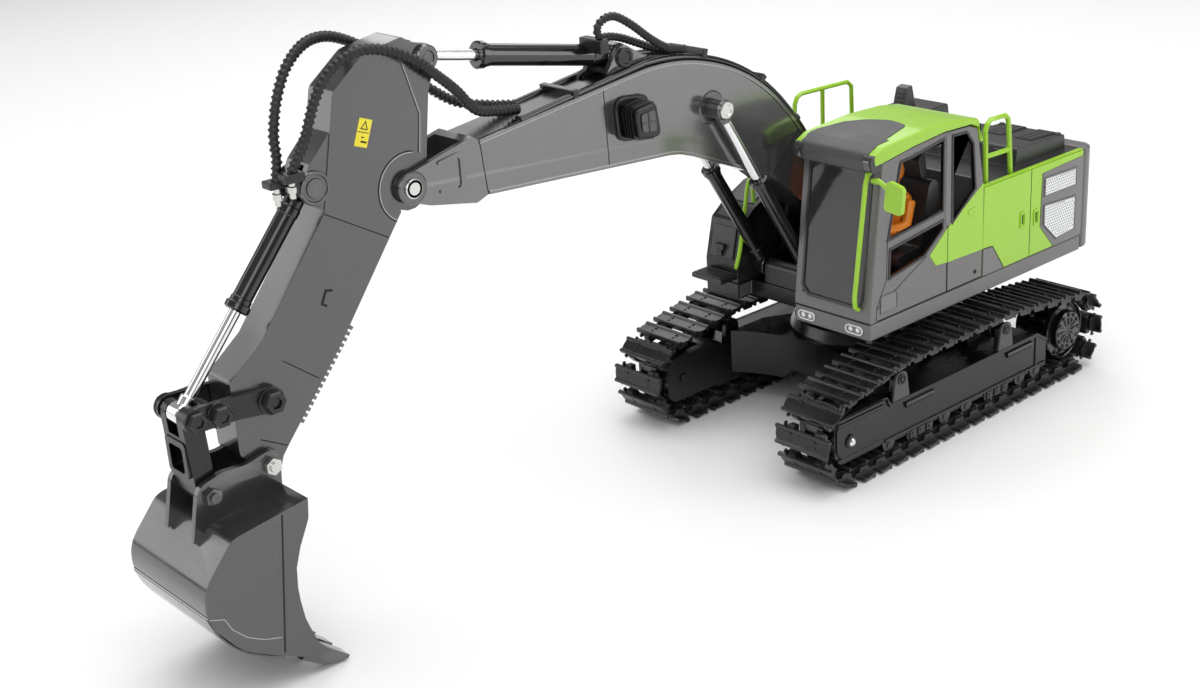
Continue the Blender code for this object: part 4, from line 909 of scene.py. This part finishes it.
def front_box():
    """The stepped toolbox with its recessed doors, tread and green rail."""
    body = "house"
    finer("toolbox", BLACK, 0.8, 3)
    left, right = -36.2, RIGHT_Y
    doors = []
    for line in (
        ((74.05, 97.6), (69.0, 118.6)), ((67.4, 121.6), (59.0, 127.8)), ((56.6, 129.2), (41.0, 136.6)),
    ):
        start, end = Vector(line[0]), Vector(line[1])
        ahead = (end - start).normalized()
        out = Vector((ahead.y, -ahead.x))
        a, b = start + ahead * 1.2, end - ahead * 1.2
        door = [a - out * 0.5, b - out * 0.5, b + out * 0.7, a + out * 0.7]
        doors.append(slab_mesh(door, right + 4, left - 4))
    piece("toolbox_doors", doors, DARK, body, 0.4)
    ribs = []
    for k in range(6):
        x = 75.6 + 2.1 * k
        ribs.append(box_mesh((x, right + 2.4, 89.8), (x + 0.9, left - 2.2, 90.9)))
    piece("step_ribs", ribs, BLACK, body, 0.15, segments=1)
    catch = [
        box_mesh((72.4, -53.5, 104.0), (75.6, -46.5, 107.4)),
        box_mesh((74.2, -52.0, 100.0), (75.8, -48.0, 104.2)),
    ]
    piece("toolbox_catch", catch, BLACK, body, 0.3)
    rail = smooth_path([
        (57, -37.6, 132.0), (58.4, -37.2, 146), (60.6, -36.6, 147.6), (63.6, -36.2, 142), (66.6, -36, 128),
        (71.4, -36.0, 106), (74.4, -36.0, 97.4), (74.0, -37.4, 94.4),
    ], 1.5)
    piece("toolbox_rail", sweep_mesh(rail, [1.3] * len(rail), 14), LIME, body)


def driver():
    """The figure, its plain limbs melted into one another."""
    form = bmesh.new()
    form.from_mesh(frame["nodes"]["driver"].data)
    form.transform(TO_WORLD.inverted())
    figure = piece("driver_figure", to_mesh(form), ORANGE, "house", 0.0, ("driver",))
    melt = figure.modifiers.new("Blend", "REMESH")
    melt.mode = "VOXEL"
    melt.voxel_size = 0.8 * MM
    melt.use_smooth_shade = True
    soften = figure.modifiers.new("Soften", "SMOOTH")
    soften.factor = 0.5
    soften.iterations = 6


def house():
    body = "house"
    finer("house_deck", GREY, 1.0, 3)
    front = [(30, -62.7), (74.3, -62.7), (74.3, -36), (62.3, -36), (62.3, 12.9), (30, 12.9)]
    piece("deck_dark_front", slab_mesh(front, 74.1, 84.06, "XY"), BLACK, body, 0.5)
    finer("boom_bracket", BLACK, 0.5)
    finer("cab_shell", GREY, 0.6)
    finer("cab_roof", LIME, 0.9, 3)
    finer("seat", DARK, 1.2, 3)
    finer("counterweight", GREY, 1.6, 4)
    finer("windshield", TINT, 0.3)
    for node in ("cab_handrail", "ladder_rail", "right_handrail", "mirror"):
        finer(node, LIME, 0.35)
    finer("battery_pack", DARK, 1.0)
    finer("circuit_board", BOARD, 0.0)
    finer("slew_motor", STEEL, 0.3)
    cab_sides()
    cab_front()
    cab_roof_top()
    left_cover()
    right_cover()
    hood_top()
    front_box()
    dark_floor = [box_mesh((-23.6, 17.0, 84.4), (73.0, 66.4, 85.4)), box_mesh((50, 20, 85), (64, 63, 97))]
    piece("cab_floor", dark_floor, BLACK, body, 0.3)
    levers = []
    for y in (33.6, 50.4):
        levers.append(rod_mesh((50, y, 96), (46, y, 122), 0.9, 12))
        levers.append(ball_mesh((46, y, 123), (1.9, 1.9, 2.4), 14))
    piece("cab_levers", levers, BLACK, body)
    driver()
    seams = [box_mesh((-143.06, -50, z), (-142.9, 57, z + 0.5)) for z in (92, 124)]
    piece("counterweight_seams", seams, SEAM, body)
    lamps, glass = [], []
    for y in (-52.0, 59.0):
        lamps.append(box_mesh((-143.4, y - 5, 100), (-142.4, y + 5, 116)))
        glass.append(box_mesh((-143.6, y - 4, 101.2), (-142.6, y + 4, 114.8)))
    piece("rear_reflector_frames", lamps, DARK, body, 0.3)
    piece("rear_reflectors", glass, SMOKE, body, 0.25)
    head = [(0, 0.9), (2.0, 0.8), (2.6, 0.2), (2.6, -0.5), (0, -0.5)]
    places = ((-100, -52), (-100, 58), (-60, -52), (-60, 58), (50, 60), (50, -52))
    piece("deck_screws", [turned_mesh(head, (x, y, 74), (x, y, 73), 20) for x, y in places], STEEL, body)


# ---------------------------------------------------------------- digging gear
BOOM_TOP = [(290, 229.4), (157, 245.6, 130), (94, 226, 130), (60, 188.4, 150), (36.5, 155.3)]
BOOM_UNDER = [(286.6, 201.0), (155, 192, 60), (83, 161, 60), (63, 144.5)]


def curve_of(corners, lift=0.0):
    """The rounded line through these corners, moved lift to its left."""
    return shifted(rounded(corners, 2.0), lift)


def boom_rims():
    """The raised rims along the boom's sides, painted highlights along their edges, a top painted black as
    painted shade, and its parting lines.
    """
    body = "boom"
    rims, edges, lines = [], [], []
    for outward in (1, -1):
        y = BOOM_Y + outward * BOOM_HALF
        span = sorted((y - outward * 0.3, y + outward * 0.7))
        rims.append(strip(curve_of(BOOM_TOP), 1.7, *span, 1))
        rims.append(strip(curve_of(BOOM_UNDER), 1.7, *span, -1))
        span = sorted((y, y + outward * 0.78))
        # Painted highlights: pale strips along the rims' edges.
        edges.append(strip(curve_of(BOOM_TOP, 1.4), 0.45, *span, 1))
        edges.append(strip(curve_of(BOOM_UNDER, -1.4), 0.45, *span, -1))
        for line in (
            ((289.6, 228.2), (287, 202.2)), ((207.6, 237), (206.4, 196.8)), ((59.4, 184.4), (82.6, 162)),
        ):
            lines.append(seam(line, y, outward))
    piece("boom_rims", rims, LIGHTER_BOOM_METAL, body, 0.25)
    piece("boom_rim_highlights", edges, PAINTED_HIGHLIGHT, body)
    # Painted shade: the boom's top between the pipes is laid in black plastic, standing for the shade there.
    top_shade = strip(curve_of(BOOM_TOP), 0.5, BOOM_Y - 12.4, BOOM_Y + 12.4, -1)
    lug_gap = across_mesh(ARM_CYLINDER_FOOT, BOOM_Y - LUG_INNER, BOOM_Y + LUG_INNER, 10.2)
    piece("boom_top_painted_shade", combined(top_shade, lug_gap, "DIFFERENCE"), BLACK, body, 0.2, segments=1)
    piece("boom_seams", lines, SEAM, body)


def boom_bosses():
    """The fork's recesses and the bosses and screws round the boom's pins."""
    body = "boom"
    recess = [
        (300, 206, 3), (316, 208.4, 1), (316, 210.2, 0.6), (303, 208.6, 2), (303, 224.6, 2),
        (316, 222.6, 0.6), (316, 224.4, 1), (300, 227, 3),
    ]
    boss = [(0, 0.7), (8.6, 0.7), (9.4, 0.2), (9.6, -0.4), (0, -0.4)]
    arm_boss = [(5.0, 0.5), (7.6, 0.5), (8.2, 0.1), (8.2, -0.3), (5.0, -0.3)]
    for word, outward in SIDES:
        y = BOOM_Y + outward * BOOM_HALF
        piece(f"boom_fork_recess_{word}", side_slab(recess, y, outward, -0.3, 0.9), LIGHTER_BOOM_METAL, body, 0.2)
        piece(f"boom_pin_boss_{word}", cap(boss, CYLINDER_PIN, y, outward, 56), GUNMETAL, body)
        piece(f"arm_pivot_boss_{word}", cap(arm_boss, ARM_PIVOT, y, outward, 48, True), GUNMETAL, body)
        screw_head(f"arm_pivot_screw_{word}", ARM_PIVOT, y + outward * 0.6, outward, 5.0, body)
        screw_head(f"boom_pin_screw_{word}", CYLINDER_PIN, BOOM_Y + outward * 24.8, outward, 4.9, body)
    finer("arm_pivot_pin", STEEL, 0.2)
    finer("boom_cylinder_pin", STEEL, 0.2)


def boom_trim():
    """The boom with its rims, pins, oil pipes and the arm cylinder's lugs."""
    body = "boom"
    finer("boom", LIGHTER_BOOM_METAL, 0.7, 3)
    boom_rims()
    boom_bosses()
    pipes = []
    for y in (BOOM_Y + 11.2, BOOM_Y - 11.2):
        route = [at(p, y) for p in curve_of(BOOM_TOP, -1.6) if p.x < 262]
        path = smooth_path([(262, y, 233.0), *route[1:]], 3.0)
        pipes.append(sweep_mesh(path, [1.9] * len(path), 14))
    piece("boom_pipes", pipes, GLOSS_BLACK, body)
    clips = []
    for x, z, turn in ((226, 238.8, -7), (133, 242.4, 14), (88, 219.6, 45), (60.5, 190.5, 53)):
        clip = box_mesh((-1.8, -13.6, -2.6), (1.8, 13.6, 2.5))
        clip.transform(Matrix.Translation((x, BOOM_Y, z)) @ Matrix.Rotation(-math.radians(turn), 4, "Y"))
        clips.append(clip)
    piece("boom_pipe_clips", clips, BLACK, body, 0.5)
    lug = [(0, 1.4), (3.0, 1.4), (3.4, 2.0), (4.8, 2.0), (5.2, 1.6), (5.2, -0.3), (0, -0.3)]
    caps = [cap(lug, ARM_CYLINDER_FOOT, BOOM_Y + side * 9.8, side) for side in (1, -1)]
    piece("boom_lug_caps", caps, BLACK, body)
    base = [(165, 243.2), (208, 238.2), (206, 241.6, 2), (196, 246.4, 3), (170, 248.4, 2)]
    feet = [slab_mesh(base, BOOM_Y + low, BOOM_Y + low + 3.4) for low in (-10.3, 6.9)]
    piece("boom_lug_base", feet, BLACK, body, 0.3)


def lamp_on_boom():
    body = "boom"
    finer("work_light", BLACK, 1.8, 4)
    y = BOOM_Y + BOOM_HALF
    fin = [(181.4, 207.8, 3.4), (197.2, 209.8, 3.4), (199.0, 227.0, 3.4), (181.8, 229.0, 3.4)]
    fins = [slab_mesh(fin, y + 3.4 + 2.1 * k, y + 4.4 + 2.1 * k) for k in range(4)]
    piece("work_light_fins", fins, BLACK, body, 0.4)
    lens = [(184, 213, 1.4), (194, 214.2, 1.4), (194.6, 223.4, 1.4), (185, 224.4, 1.4)]
    piece("work_light_lens", slab_mesh(lens, y + 13.2, y + 14.0), SMOKE, body, 0.3)
    outlines = (
        [(188.8, 213.4), (189.6, 213.4), (190.2, 224), (189.4, 224)],
        [(184.4, 218.2), (194.4, 218.6), (194.4, 219.3), (184.4, 218.9)],
    )
    bars = [slab_mesh(bar, y + 13.8, y + 14.4) for bar in outlines]
    piece("work_light_bars", bars, DARK, body, 0.1, segments=1)


def eye_ring(point, y, bore, radius, half, edge, sides):
    """The eye round a pin, its rims taken down by edge."""
    ring = [
        (bore, half), (radius - edge, half), (radius, half - edge), (radius, edge - half),
        (radius - edge, -half), (bore, -half),
    ]
    return cap(ring, point, y, 1, sides, True)


def piston(name, foot, pin, y, barrel, rod, rod_look):
    """A hydraulic cylinder: gloss barrel with collars, polished rod and its eye.

    barrel says (radius, length, eye, half, bore) and rod says (radius, reach, eye, half).
    """
    radius, length, eye, half, bore = barrel
    rod_r, rod_reach, rod_eye, rod_half = rod
    start, end = at(foot, y), at(pin, y)
    inner = rod_r + 0.45
    profile = [
        (inner, length), (radius + 0.3, length), (radius + 1.3, length - 0.8), (radius + 1.3, length - 3.6),
        (radius + 0.4, length - 4.2), (radius + 0.4, length - 6.4), (radius, length - 6.8),
        (radius, eye + 9.4), (radius + 0.4, eye + 8.8), (radius + 0.4, eye + 5.2), (radius, eye + 4.6),
        (radius, eye + 1), (radius - 1.4, eye - 0.8), (0, eye - 0.8), (0, eye + 4), (inner, eye + 4),
    ]
    tube = [turned_mesh(profile, start, end, 48), eye_ring(foot, y, bore, eye, half, 0.5, 40)]
    piece(f"{name}_barrel", tube, GLOSS_BLACK, NODE_BODY[name], 0.0, (name,))
    rod_name = name.replace("cylinder", "rod")
    reach = (Vector(end) - Vector(start)).length
    tip, root = reach - rod_eye, reach - rod_reach
    shaft = [(0, tip + 1.2), (rod_r, tip + 1.2), (rod_r, root + 0.4), (rod_r - 0.4, root), (0, root)]
    shaft = turned_mesh(shaft, start, end, 40)
    piece(f"{rod_name}_shaft", shaft, CHROME, NODE_BODY[rod_name], 0.0, ())
    neck = [
        (0, reach - 3.2), (rod_r + 1.3, reach - 3.2), (rod_r + 1.3, tip - 2.6), (rod_r + 0.7, tip - 3.4),
        (0, tip - 3.4),
    ]
    head = [eye_ring(pin, y, 2.7, rod_eye, rod_half, 0.6, 48), turned_mesh(neck, start, end, 40)]
    piece(f"{rod_name}_head", head, rod_look, NODE_BODY[rod_name], 0.0, (rod_name,))


def cylinders():
    barrel, rod = (4.3, 85, 6.8, 3.7, 4.9), (2.7, 107.6, 5.6, 5.2)
    for word, outward in SIDES:
        y = BOOM_Y + outward * 19.0
        piston(f"boom_cylinder_{word}", CYLINDER_FOOT, CYLINDER_PIN, y, barrel, rod, GUNMETAL)
    barrel, rod = (5.6, 90, 7.0, 5.8, 5.2), (2.8, 102.2, 5.6, 4.3)
    piston("arm_cylinder", ARM_CYLINDER_FOOT, ARM_CYLINDER_PIN, BOOM_Y, barrel, rod, CHROME)
    barrel, rod = (4.8, 66, 7.0, 4.6, 4.8), (2.8, 96.2, 5.2, 4.4)
    piston("bucket_cylinder", BUCKET_CYLINDER_FOOT, ROCKER_TIP, BOOM_Y, barrel, rod, CHROME)


def arm_sides():
    """The arm's parting lines, raised front ridges with painted highlights along them, and the disc round its
    pivot with a painted highlight ring.
    """
    body = "arm"
    lines, panels, shine = [], [], []
    ridge = [(331.0, 283.0), (327.0, 275.0), (319.6, 249.0), (322.0, 229.6)]
    ridge_edge = [(332.4, 282.8), (328.4, 274.9), (321.0, 249.0), (323.4, 230.2)]
    turns = [math.radians(4 * k - 60) for k in range(42)]
    ring = [Vector(ARM_PIVOT) + Vector((math.cos(a), math.sin(a))) * 17.0 for a in turns]
    for outward in (1, -1):
        y = BOOM_Y + outward * ARM_HALF
        for line in (
            ((379.4, 213.6), (346, 193.6)), ((411.4, 150.6), (393.4, 136)), ((428.6, 116.4), (414.6, 108.6)),
        ):
            lines.append(seam(line, y, outward))
        panels.append(strip(ridge, 1.5, *sorted((y - outward * 0.3, y + outward * 0.6))))
        # Painted highlights: a pale ring round the pivot disc and a pale line along each ridge.
        shine.append(strip(ring, 0.5, *sorted((y - outward * 0.2, y + outward * 0.25))))
        lines.append(strip(ring, 0.7, *sorted((y - outward * 0.2, y + outward * 0.1)), -1))
        shine.append(strip(ridge_edge, 0.4, *sorted((y, y + outward * 0.66))))
    piece("arm_seams", lines, SEAM, body)
    piece("arm_ridges", panels, GUNMETAL, body, 0.15, segments=1)
    piece("arm_ridge_highlights", shine, PAINTED_HIGHLIGHT, body)


def arm_marks():
    """The plain label, with a bare triangle and bars, and the small hook-shaped mark below it."""
    body, y = "arm", BOOM_Y + ARM_HALF
    label = [(352.6, 239.0), (359.4, 241.6), (354.6, 254.0), (347.8, 251.4)]
    piece("arm_plain_sticker", side_slab(label, y, 1, -0.3, 0.12), YELLOW, body)
    warn = [(351.0, 247.2), (355.0, 248.7), (351.4, 251.9)]
    marks = [side_slab(warn, y, 1, -0.3, 0.2, [inset(warn, 0.45)])]
    for line, width in (
        (((350.6, 245.6), (356.6, 247.9)), 0.35), (((352.4, 241.6), (355.6, 242.8)), 0.9),
        (((353.4, 244.2), (355.0, 244.8)), 0.6),
    ):
        marks.append(seam(line, y + 0.1, 1, width, 0.06))
    piece("arm_sticker_marks", marks, SEAM, body)
    hook = [
        (380.2, 177.0), (384.2, 178.0), (387.4, 171.2), (384.6, 169.4), (384.0, 170.3), (386.1, 171.6),
        (383.6, 176.8), (380.4, 176.0),
    ]
    piece("arm_small_mark", side_slab(hook, y, 1, -0.3, 0.3), SEAM, body)


def arm_trim():
    body = "arm"
    finer("arm", GUNMETAL, 0.7, 3)
    arm_sides()
    start, end = Vector((372.6, 156.6)), Vector((407.6, 116.4))
    ahead = (end - start).normalized()
    long, out = ahead * 1.9, Vector((ahead.y, -ahead.x)) * 2.4
    teeth = []
    for k in range(17):
        p = start + ahead * 3.1 * k
        teeth.append(slab_mesh([p, p + long, p + long + out, p + out], BOOM_Y - 9.6, BOOM_Y + 9.6))
    piece("arm_back_ribs", teeth, GUNMETAL, body, 0.2, segments=1)
    arm_marks()
    pin_cap = [(0, 2.2), (3.4, 2.2), (3.8, 2.8), (5.6, 2.8), (6.2, 2.3), (6.3, -0.3), (0, -0.3)]
    caps = [cap(pin_cap, ARM_CYLINDER_PIN, BOOM_Y + side * ARM_HALF, side, 48) for side in (1, -1)]
    piece("arm_rod_pin_caps", caps, GUNMETAL, body)
    clamp = [
        box_mesh((389.4, BOOM_Y + 7.4, 233.0), (400.0, BOOM_Y + 14.6, 237.4)),
        box_mesh((393.4, BOOM_Y - 1.6, 229.6), (403.6, BOOM_Y + 6.4, 233.4)),
        box_mesh((390.6, BOOM_Y + 3.0, 226.0), (394.4, BOOM_Y + 11.0, 234.0)),
    ]
    piece("hose_clamp_arm", clamp, BLACK, body, 0.8)
    ferrule = [(0, 0), (1.7, 0), (1.7, 2.2), (2.3, 2.6), (2.3, 5.4), (1.6, 5.8), (1.6, 8.6), (0, 8.6)]
    lines = (((395, 0, 233.6), (394.2, -1.6, 224.4)), ((399, -7, 229.8), (398.6, -8.4, 221.0)))
    piece("hose_ferrules", [turned_mesh(ferrule, *line, 12) for line in lines], STEEL, body)
    ring = [
        (0, 1.1), (4.6, 1.1), (4.9, 0.5), (6.2, 0.5), (6.6, 1.1), (7.8, 1.1), (8.2, 0.5), (8.3, -0.4),
        (0, -0.4),
    ]
    bosses = [cap(ring, BUCKET_CYLINDER_FOOT, BOOM_Y + side * ARM_HALF, side) for side in (1, -1)]
    piece("arm_foot_bosses", bosses, GUNMETAL, body)


def linkage_trim():
    finer("rocker_link", BLACK, 0.5)
    caps = []
    for outward in (1, -1):
        y = BOOM_Y + outward * 13.4
        for point, radius, reach in (
            (ROCKER_PIVOT, 5.9, 5.0), ((449.3, 137.2), 5.4, 4.9), (ROCKER_TIP, 5.2, 3.4),
        ):
            nut = [
                (0, reach - 2.2), (radius * 0.5, reach - 2.2), (radius * 0.5, reach), (radius - 0.7, reach),
                (radius, reach - 0.7), (radius, 0.9),
            ]
            collar = [(0, 1.0), (radius, 1.0), (radius + 0.9, 0.8), (radius + 1.0, -0.3), (0, -0.3)]
            caps.append(cap(nut, point, y, outward, 6))
            caps.append(cap(collar, point, y, outward))
    piece("rocker_bosses", caps, BLACK, "rocker")
    finer("push_link", BLACK, 0.5)
    window = rounded(rect(BOOM_Y - 6, 111, BOOM_Y + 6, 124, 2))
    ring = slab_mesh(rect(BOOM_Y - 9, 109, BOOM_Y + 9, 127, 2), 464.4, 466.4, "YZ", [window])
    piece("push_link_frame", ring, BLACK, "push_link", 0.4)


def bucket_trim():
    body = "bucket"
    finer("bucket", GUNMETAL, 0.55, 3)
    finer("bucket_pin", STEEL, 0.25)
    low, high = BOOM_Y - BUCKET_HALF, BOOM_Y + BUCKET_HALF
    curve = [(480.3, 52.9), (472.6, 50.0), (469.6, 43.4), (463, 36.4), (455, 31.6), (445.6, 28.4)]
    rims, lines = [], []
    for y, outward in ((low, -1), (high, 1)):
        lines.append(seam([(436.4, 89.0), (445.0, 19.4)], y, outward, 0.9))
        # Painted highlight: a pale strip along each of the bucket's side rims.
        rims.append(strip(curve, 0.5, y - 0.3, y + 0.3))
    piece("bucket_rim_highlights", rims, PAINTED_HIGHLIGHT, body)
    piece("bucket_seams", lines, SEAM, body)
    under = [(480.4, 0, 53.0), (475.6, 0, 42.0), (466.4, 0, 30.6), (455.4, 0, 23.0), (444.8, 0, 17.4)]
    plate = strip([(p.x, p.z) for p in smooth_path(under, 3.0)], 1.0, low, high)
    piece("bucket_wear_plate", plate, GUNMETAL, body, 0.3)
    # Painted highlight: a pale strip along the wear plate's front edge.
    piece("bucket_wear_plate_highlight", box_mesh((480.6, low, 53.0), (481.2, high, 54.0)), PAINTED_HIGHLIGHT, body)
    lip = slab_mesh([(430.6, 10.0), (445.4, 17.4, 6), (444.4, 19.4), (430.0, 14.2, 1)], low + 2.6, high - 2.6)
    piece("bucket_lip", lip, GUNMETAL, body, 0.3)
    bolt = [(0, 1.2), (2.0, 1.1), (2.4, 0.6), (2.4, -0.6), (0, -0.6)]
    bolts = [cap(bolt, BUCKET_LINK_PIN, BOOM_Y + side * 16.6, side, 24) for side in (1, -1)]
    piece("bucket_link_bolts", bolts, STEEL, body)


# The hoses' centre lines are the CAD's own.
NEAR_HOSE = [
    (258, -6, 236.8), (272, -5, 239), (287, -2, 243.4), (300, 1, 256), (313, 4, 266.5), (325, 4.8, 276),
    (339, 4.4, 283), (355, 3.4, 285.4), (370, 2, 279), (379, 1.4, 267), (386, 1.4, 252), (391, 0.6, 243),
    (395, 0, 236.4),
]
FAR_HOSE = [
    (252, -16, 236.4), (266, -20, 238.6), (282, -24, 243), (297, -26, 253), (312, -26.5, 264),
    (330, -26, 278), (345, -24, 286.2), (358, -21, 289.8), (371, -17, 288.5), (383, -13, 281),
    (391, -11, 268), (395, -10.5, 253), (396, -9, 242), (399, -7, 232),
]
ROD_SIDE_LOOP = [
    (206, 1, 262.6), (208.6, 1.4, 268.6), (205, 1.8, 273.0), (197, 2, 273.6), (186, 2, 267.6),
    (172, 1.6, 257.4), (160, 1, 250.6), (147, 0.4, 247.4),
]
BASE_SIDE_LOOP = [
    (204, -6, 260.6), (196, -6.6, 261.8), (186, -6.6, 259.6), (175, -6, 255.0), (163, -5.4, 250.0),
    (149, -5, 247.2),
]


def ribbed(points, radius=2.75, pitch=2.9):
    """A corrugated hose: rounded rings along a smooth path."""
    path = smooth_path(points, pitch / 5)
    wave = (radius, radius * 0.97, radius * 0.74, radius * 0.72, radius * 0.76)
    return path, sweep_mesh(path, [wave[i % 5] for i in range(len(path))], 12)


def hoses():
    for name, route, start_z, end_z in (("near_hose", NEAR_HOSE, 250, 284), ("far_hose", FAR_HOSE, 252, 286)):
        path, mesh = ribbed(route)
        hose = piece(name + "_ribbed", mesh, RUBBER, None, 0.0, (name,), smooth=60)
        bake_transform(hose)
    for name, route in (("rod_side_loop", ROD_SIDE_LOOP), ("base_side_loop", BASE_SIDE_LOOP)):
        path, mesh = ribbed(route, 2.3, 2.6)
        piece(name, mesh, RUBBER, "boom", smooth=60)
    block = box_mesh((203.6, BOOM_Y - 1.6, 256.0), (209.4, BOOM_Y + 15.4, 263.6))
    piece("cylinder_hose_block", block, BLACK, "boom", 0.8)


# ---------------------------------------------------------------- stage
def area_light(name, place, aim, size, power, size_y=None):
    data = bpy.data.lights.new(name, "AREA")
    data.energy = power
    data.size = size
    if size_y:
        data.shape = "RECTANGLE"
        data.size_y = size_y
    light = bpy.data.objects.new(name, data)
    light.location = place
    light.rotation_mode = "QUATERNION"
    light.rotation_quaternion = (Vector(aim) - Vector(place)).to_track_quat("-Z", "Y")
    bpy.context.scene.collection.objects.link(light)


def backdrop():
    """A white surround, weaker towards the horizon."""
    studio = bpy.data.worlds.new("studio")
    bpy.context.scene.world = studio
    studio.use_nodes = True
    tree = studio.node_tree
    background = tree.nodes["Background"]
    background.inputs["Color"].default_value = (1.0, 1.0, 1.0, 1)
    place = tree.nodes.new("ShaderNodeTexCoord")
    split = tree.nodes.new("ShaderNodeSeparateXYZ")
    height = tree.nodes.new("ShaderNodeMapRange")
    for socket, value in (("From Min", -0.1), ("From Max", 0.9), ("To Min", 0.2), ("To Max", 0.42)):
        height.inputs[socket].default_value = value
    tree.links.new(place.outputs["Generated"], split.inputs["Vector"])
    tree.links.new(split.outputs["Z"], height.inputs["Value"])
    tree.links.new(height.outputs["Result"], background.inputs["Strength"])


def stage():
    form = bmesh.new()
    bmesh.ops.create_grid(form, x_segments=1, y_segments=1, size=15)
    mesh = to_mesh(form)
    mesh.materials.append(finish("pale_floor", (0.86, 0.86, 0.86), 0.6, mottle=0.004))
    floor = bpy.data.objects.new("floor", mesh)
    floor.location = (0, 0, -0.0002)
    bpy.context.scene.collection.objects.link(floor)
    backdrop()
    area_light("top_softbox", (-0.1, 0.1, 2.6), (0, 0, 0.1), 3.6, 78)
    area_light("front_softbox", (1.1, 1.3, 0.9), (0.05, 0, 0.15), 0.7, 6, 1.2)
    area_light("left_softbox", (1.5, -1.5, 0.75), (0.1, 0, 0.15), 1.3, 8, 1.2)
    area_light("side_strip", (-1.2, 1.5, 0.7), (-0.1, 0, 0.12), 0.8, 9, 1.2)
    area_light("rear_softbox", (-1.0, -1.2, 1.2), (0, 0, 0.15), 1.0, 5)
    bpy.context.scene.view_settings.view_transform = "Standard"


def camera():
    """Looks from the front left, a little from above."""
    yaw, pitch, roll = math.radians(229.480), math.radians(21.847), math.radians(-3.617)
    ahead = Vector((math.cos(yaw) * math.cos(pitch), math.sin(yaw) * math.cos(pitch), -math.sin(pitch)))
    right = Vector((math.sin(yaw), -math.cos(yaw), 0))
    down = ahead.cross(right)
    turned_right = right * math.cos(roll) - down * math.sin(roll)
    turned_down = right * math.sin(roll) + down * math.cos(roll)
    data = bpy.data.cameras.new("camera")
    data.sensor_width = 36
    data.lens = 51.483
    data.clip_start = 0.05
    data.clip_end = 50
    view = bpy.data.objects.new("camera", data)
    axes = Matrix((turned_right, -turned_down, -ahead)).transposed().to_4x4()
    view.matrix_world = Matrix.Translation(world(779.27, 655.99, 445.11)) @ axes
    bpy.context.scene.collection.objects.link(view)
    bpy.context.scene.camera = view


undercarriage()
house()
boom_trim()
lamp_on_boom()
cylinders()
arm_trim()
linkage_trim()
bucket_trim()
hoses()
stage()
camera()
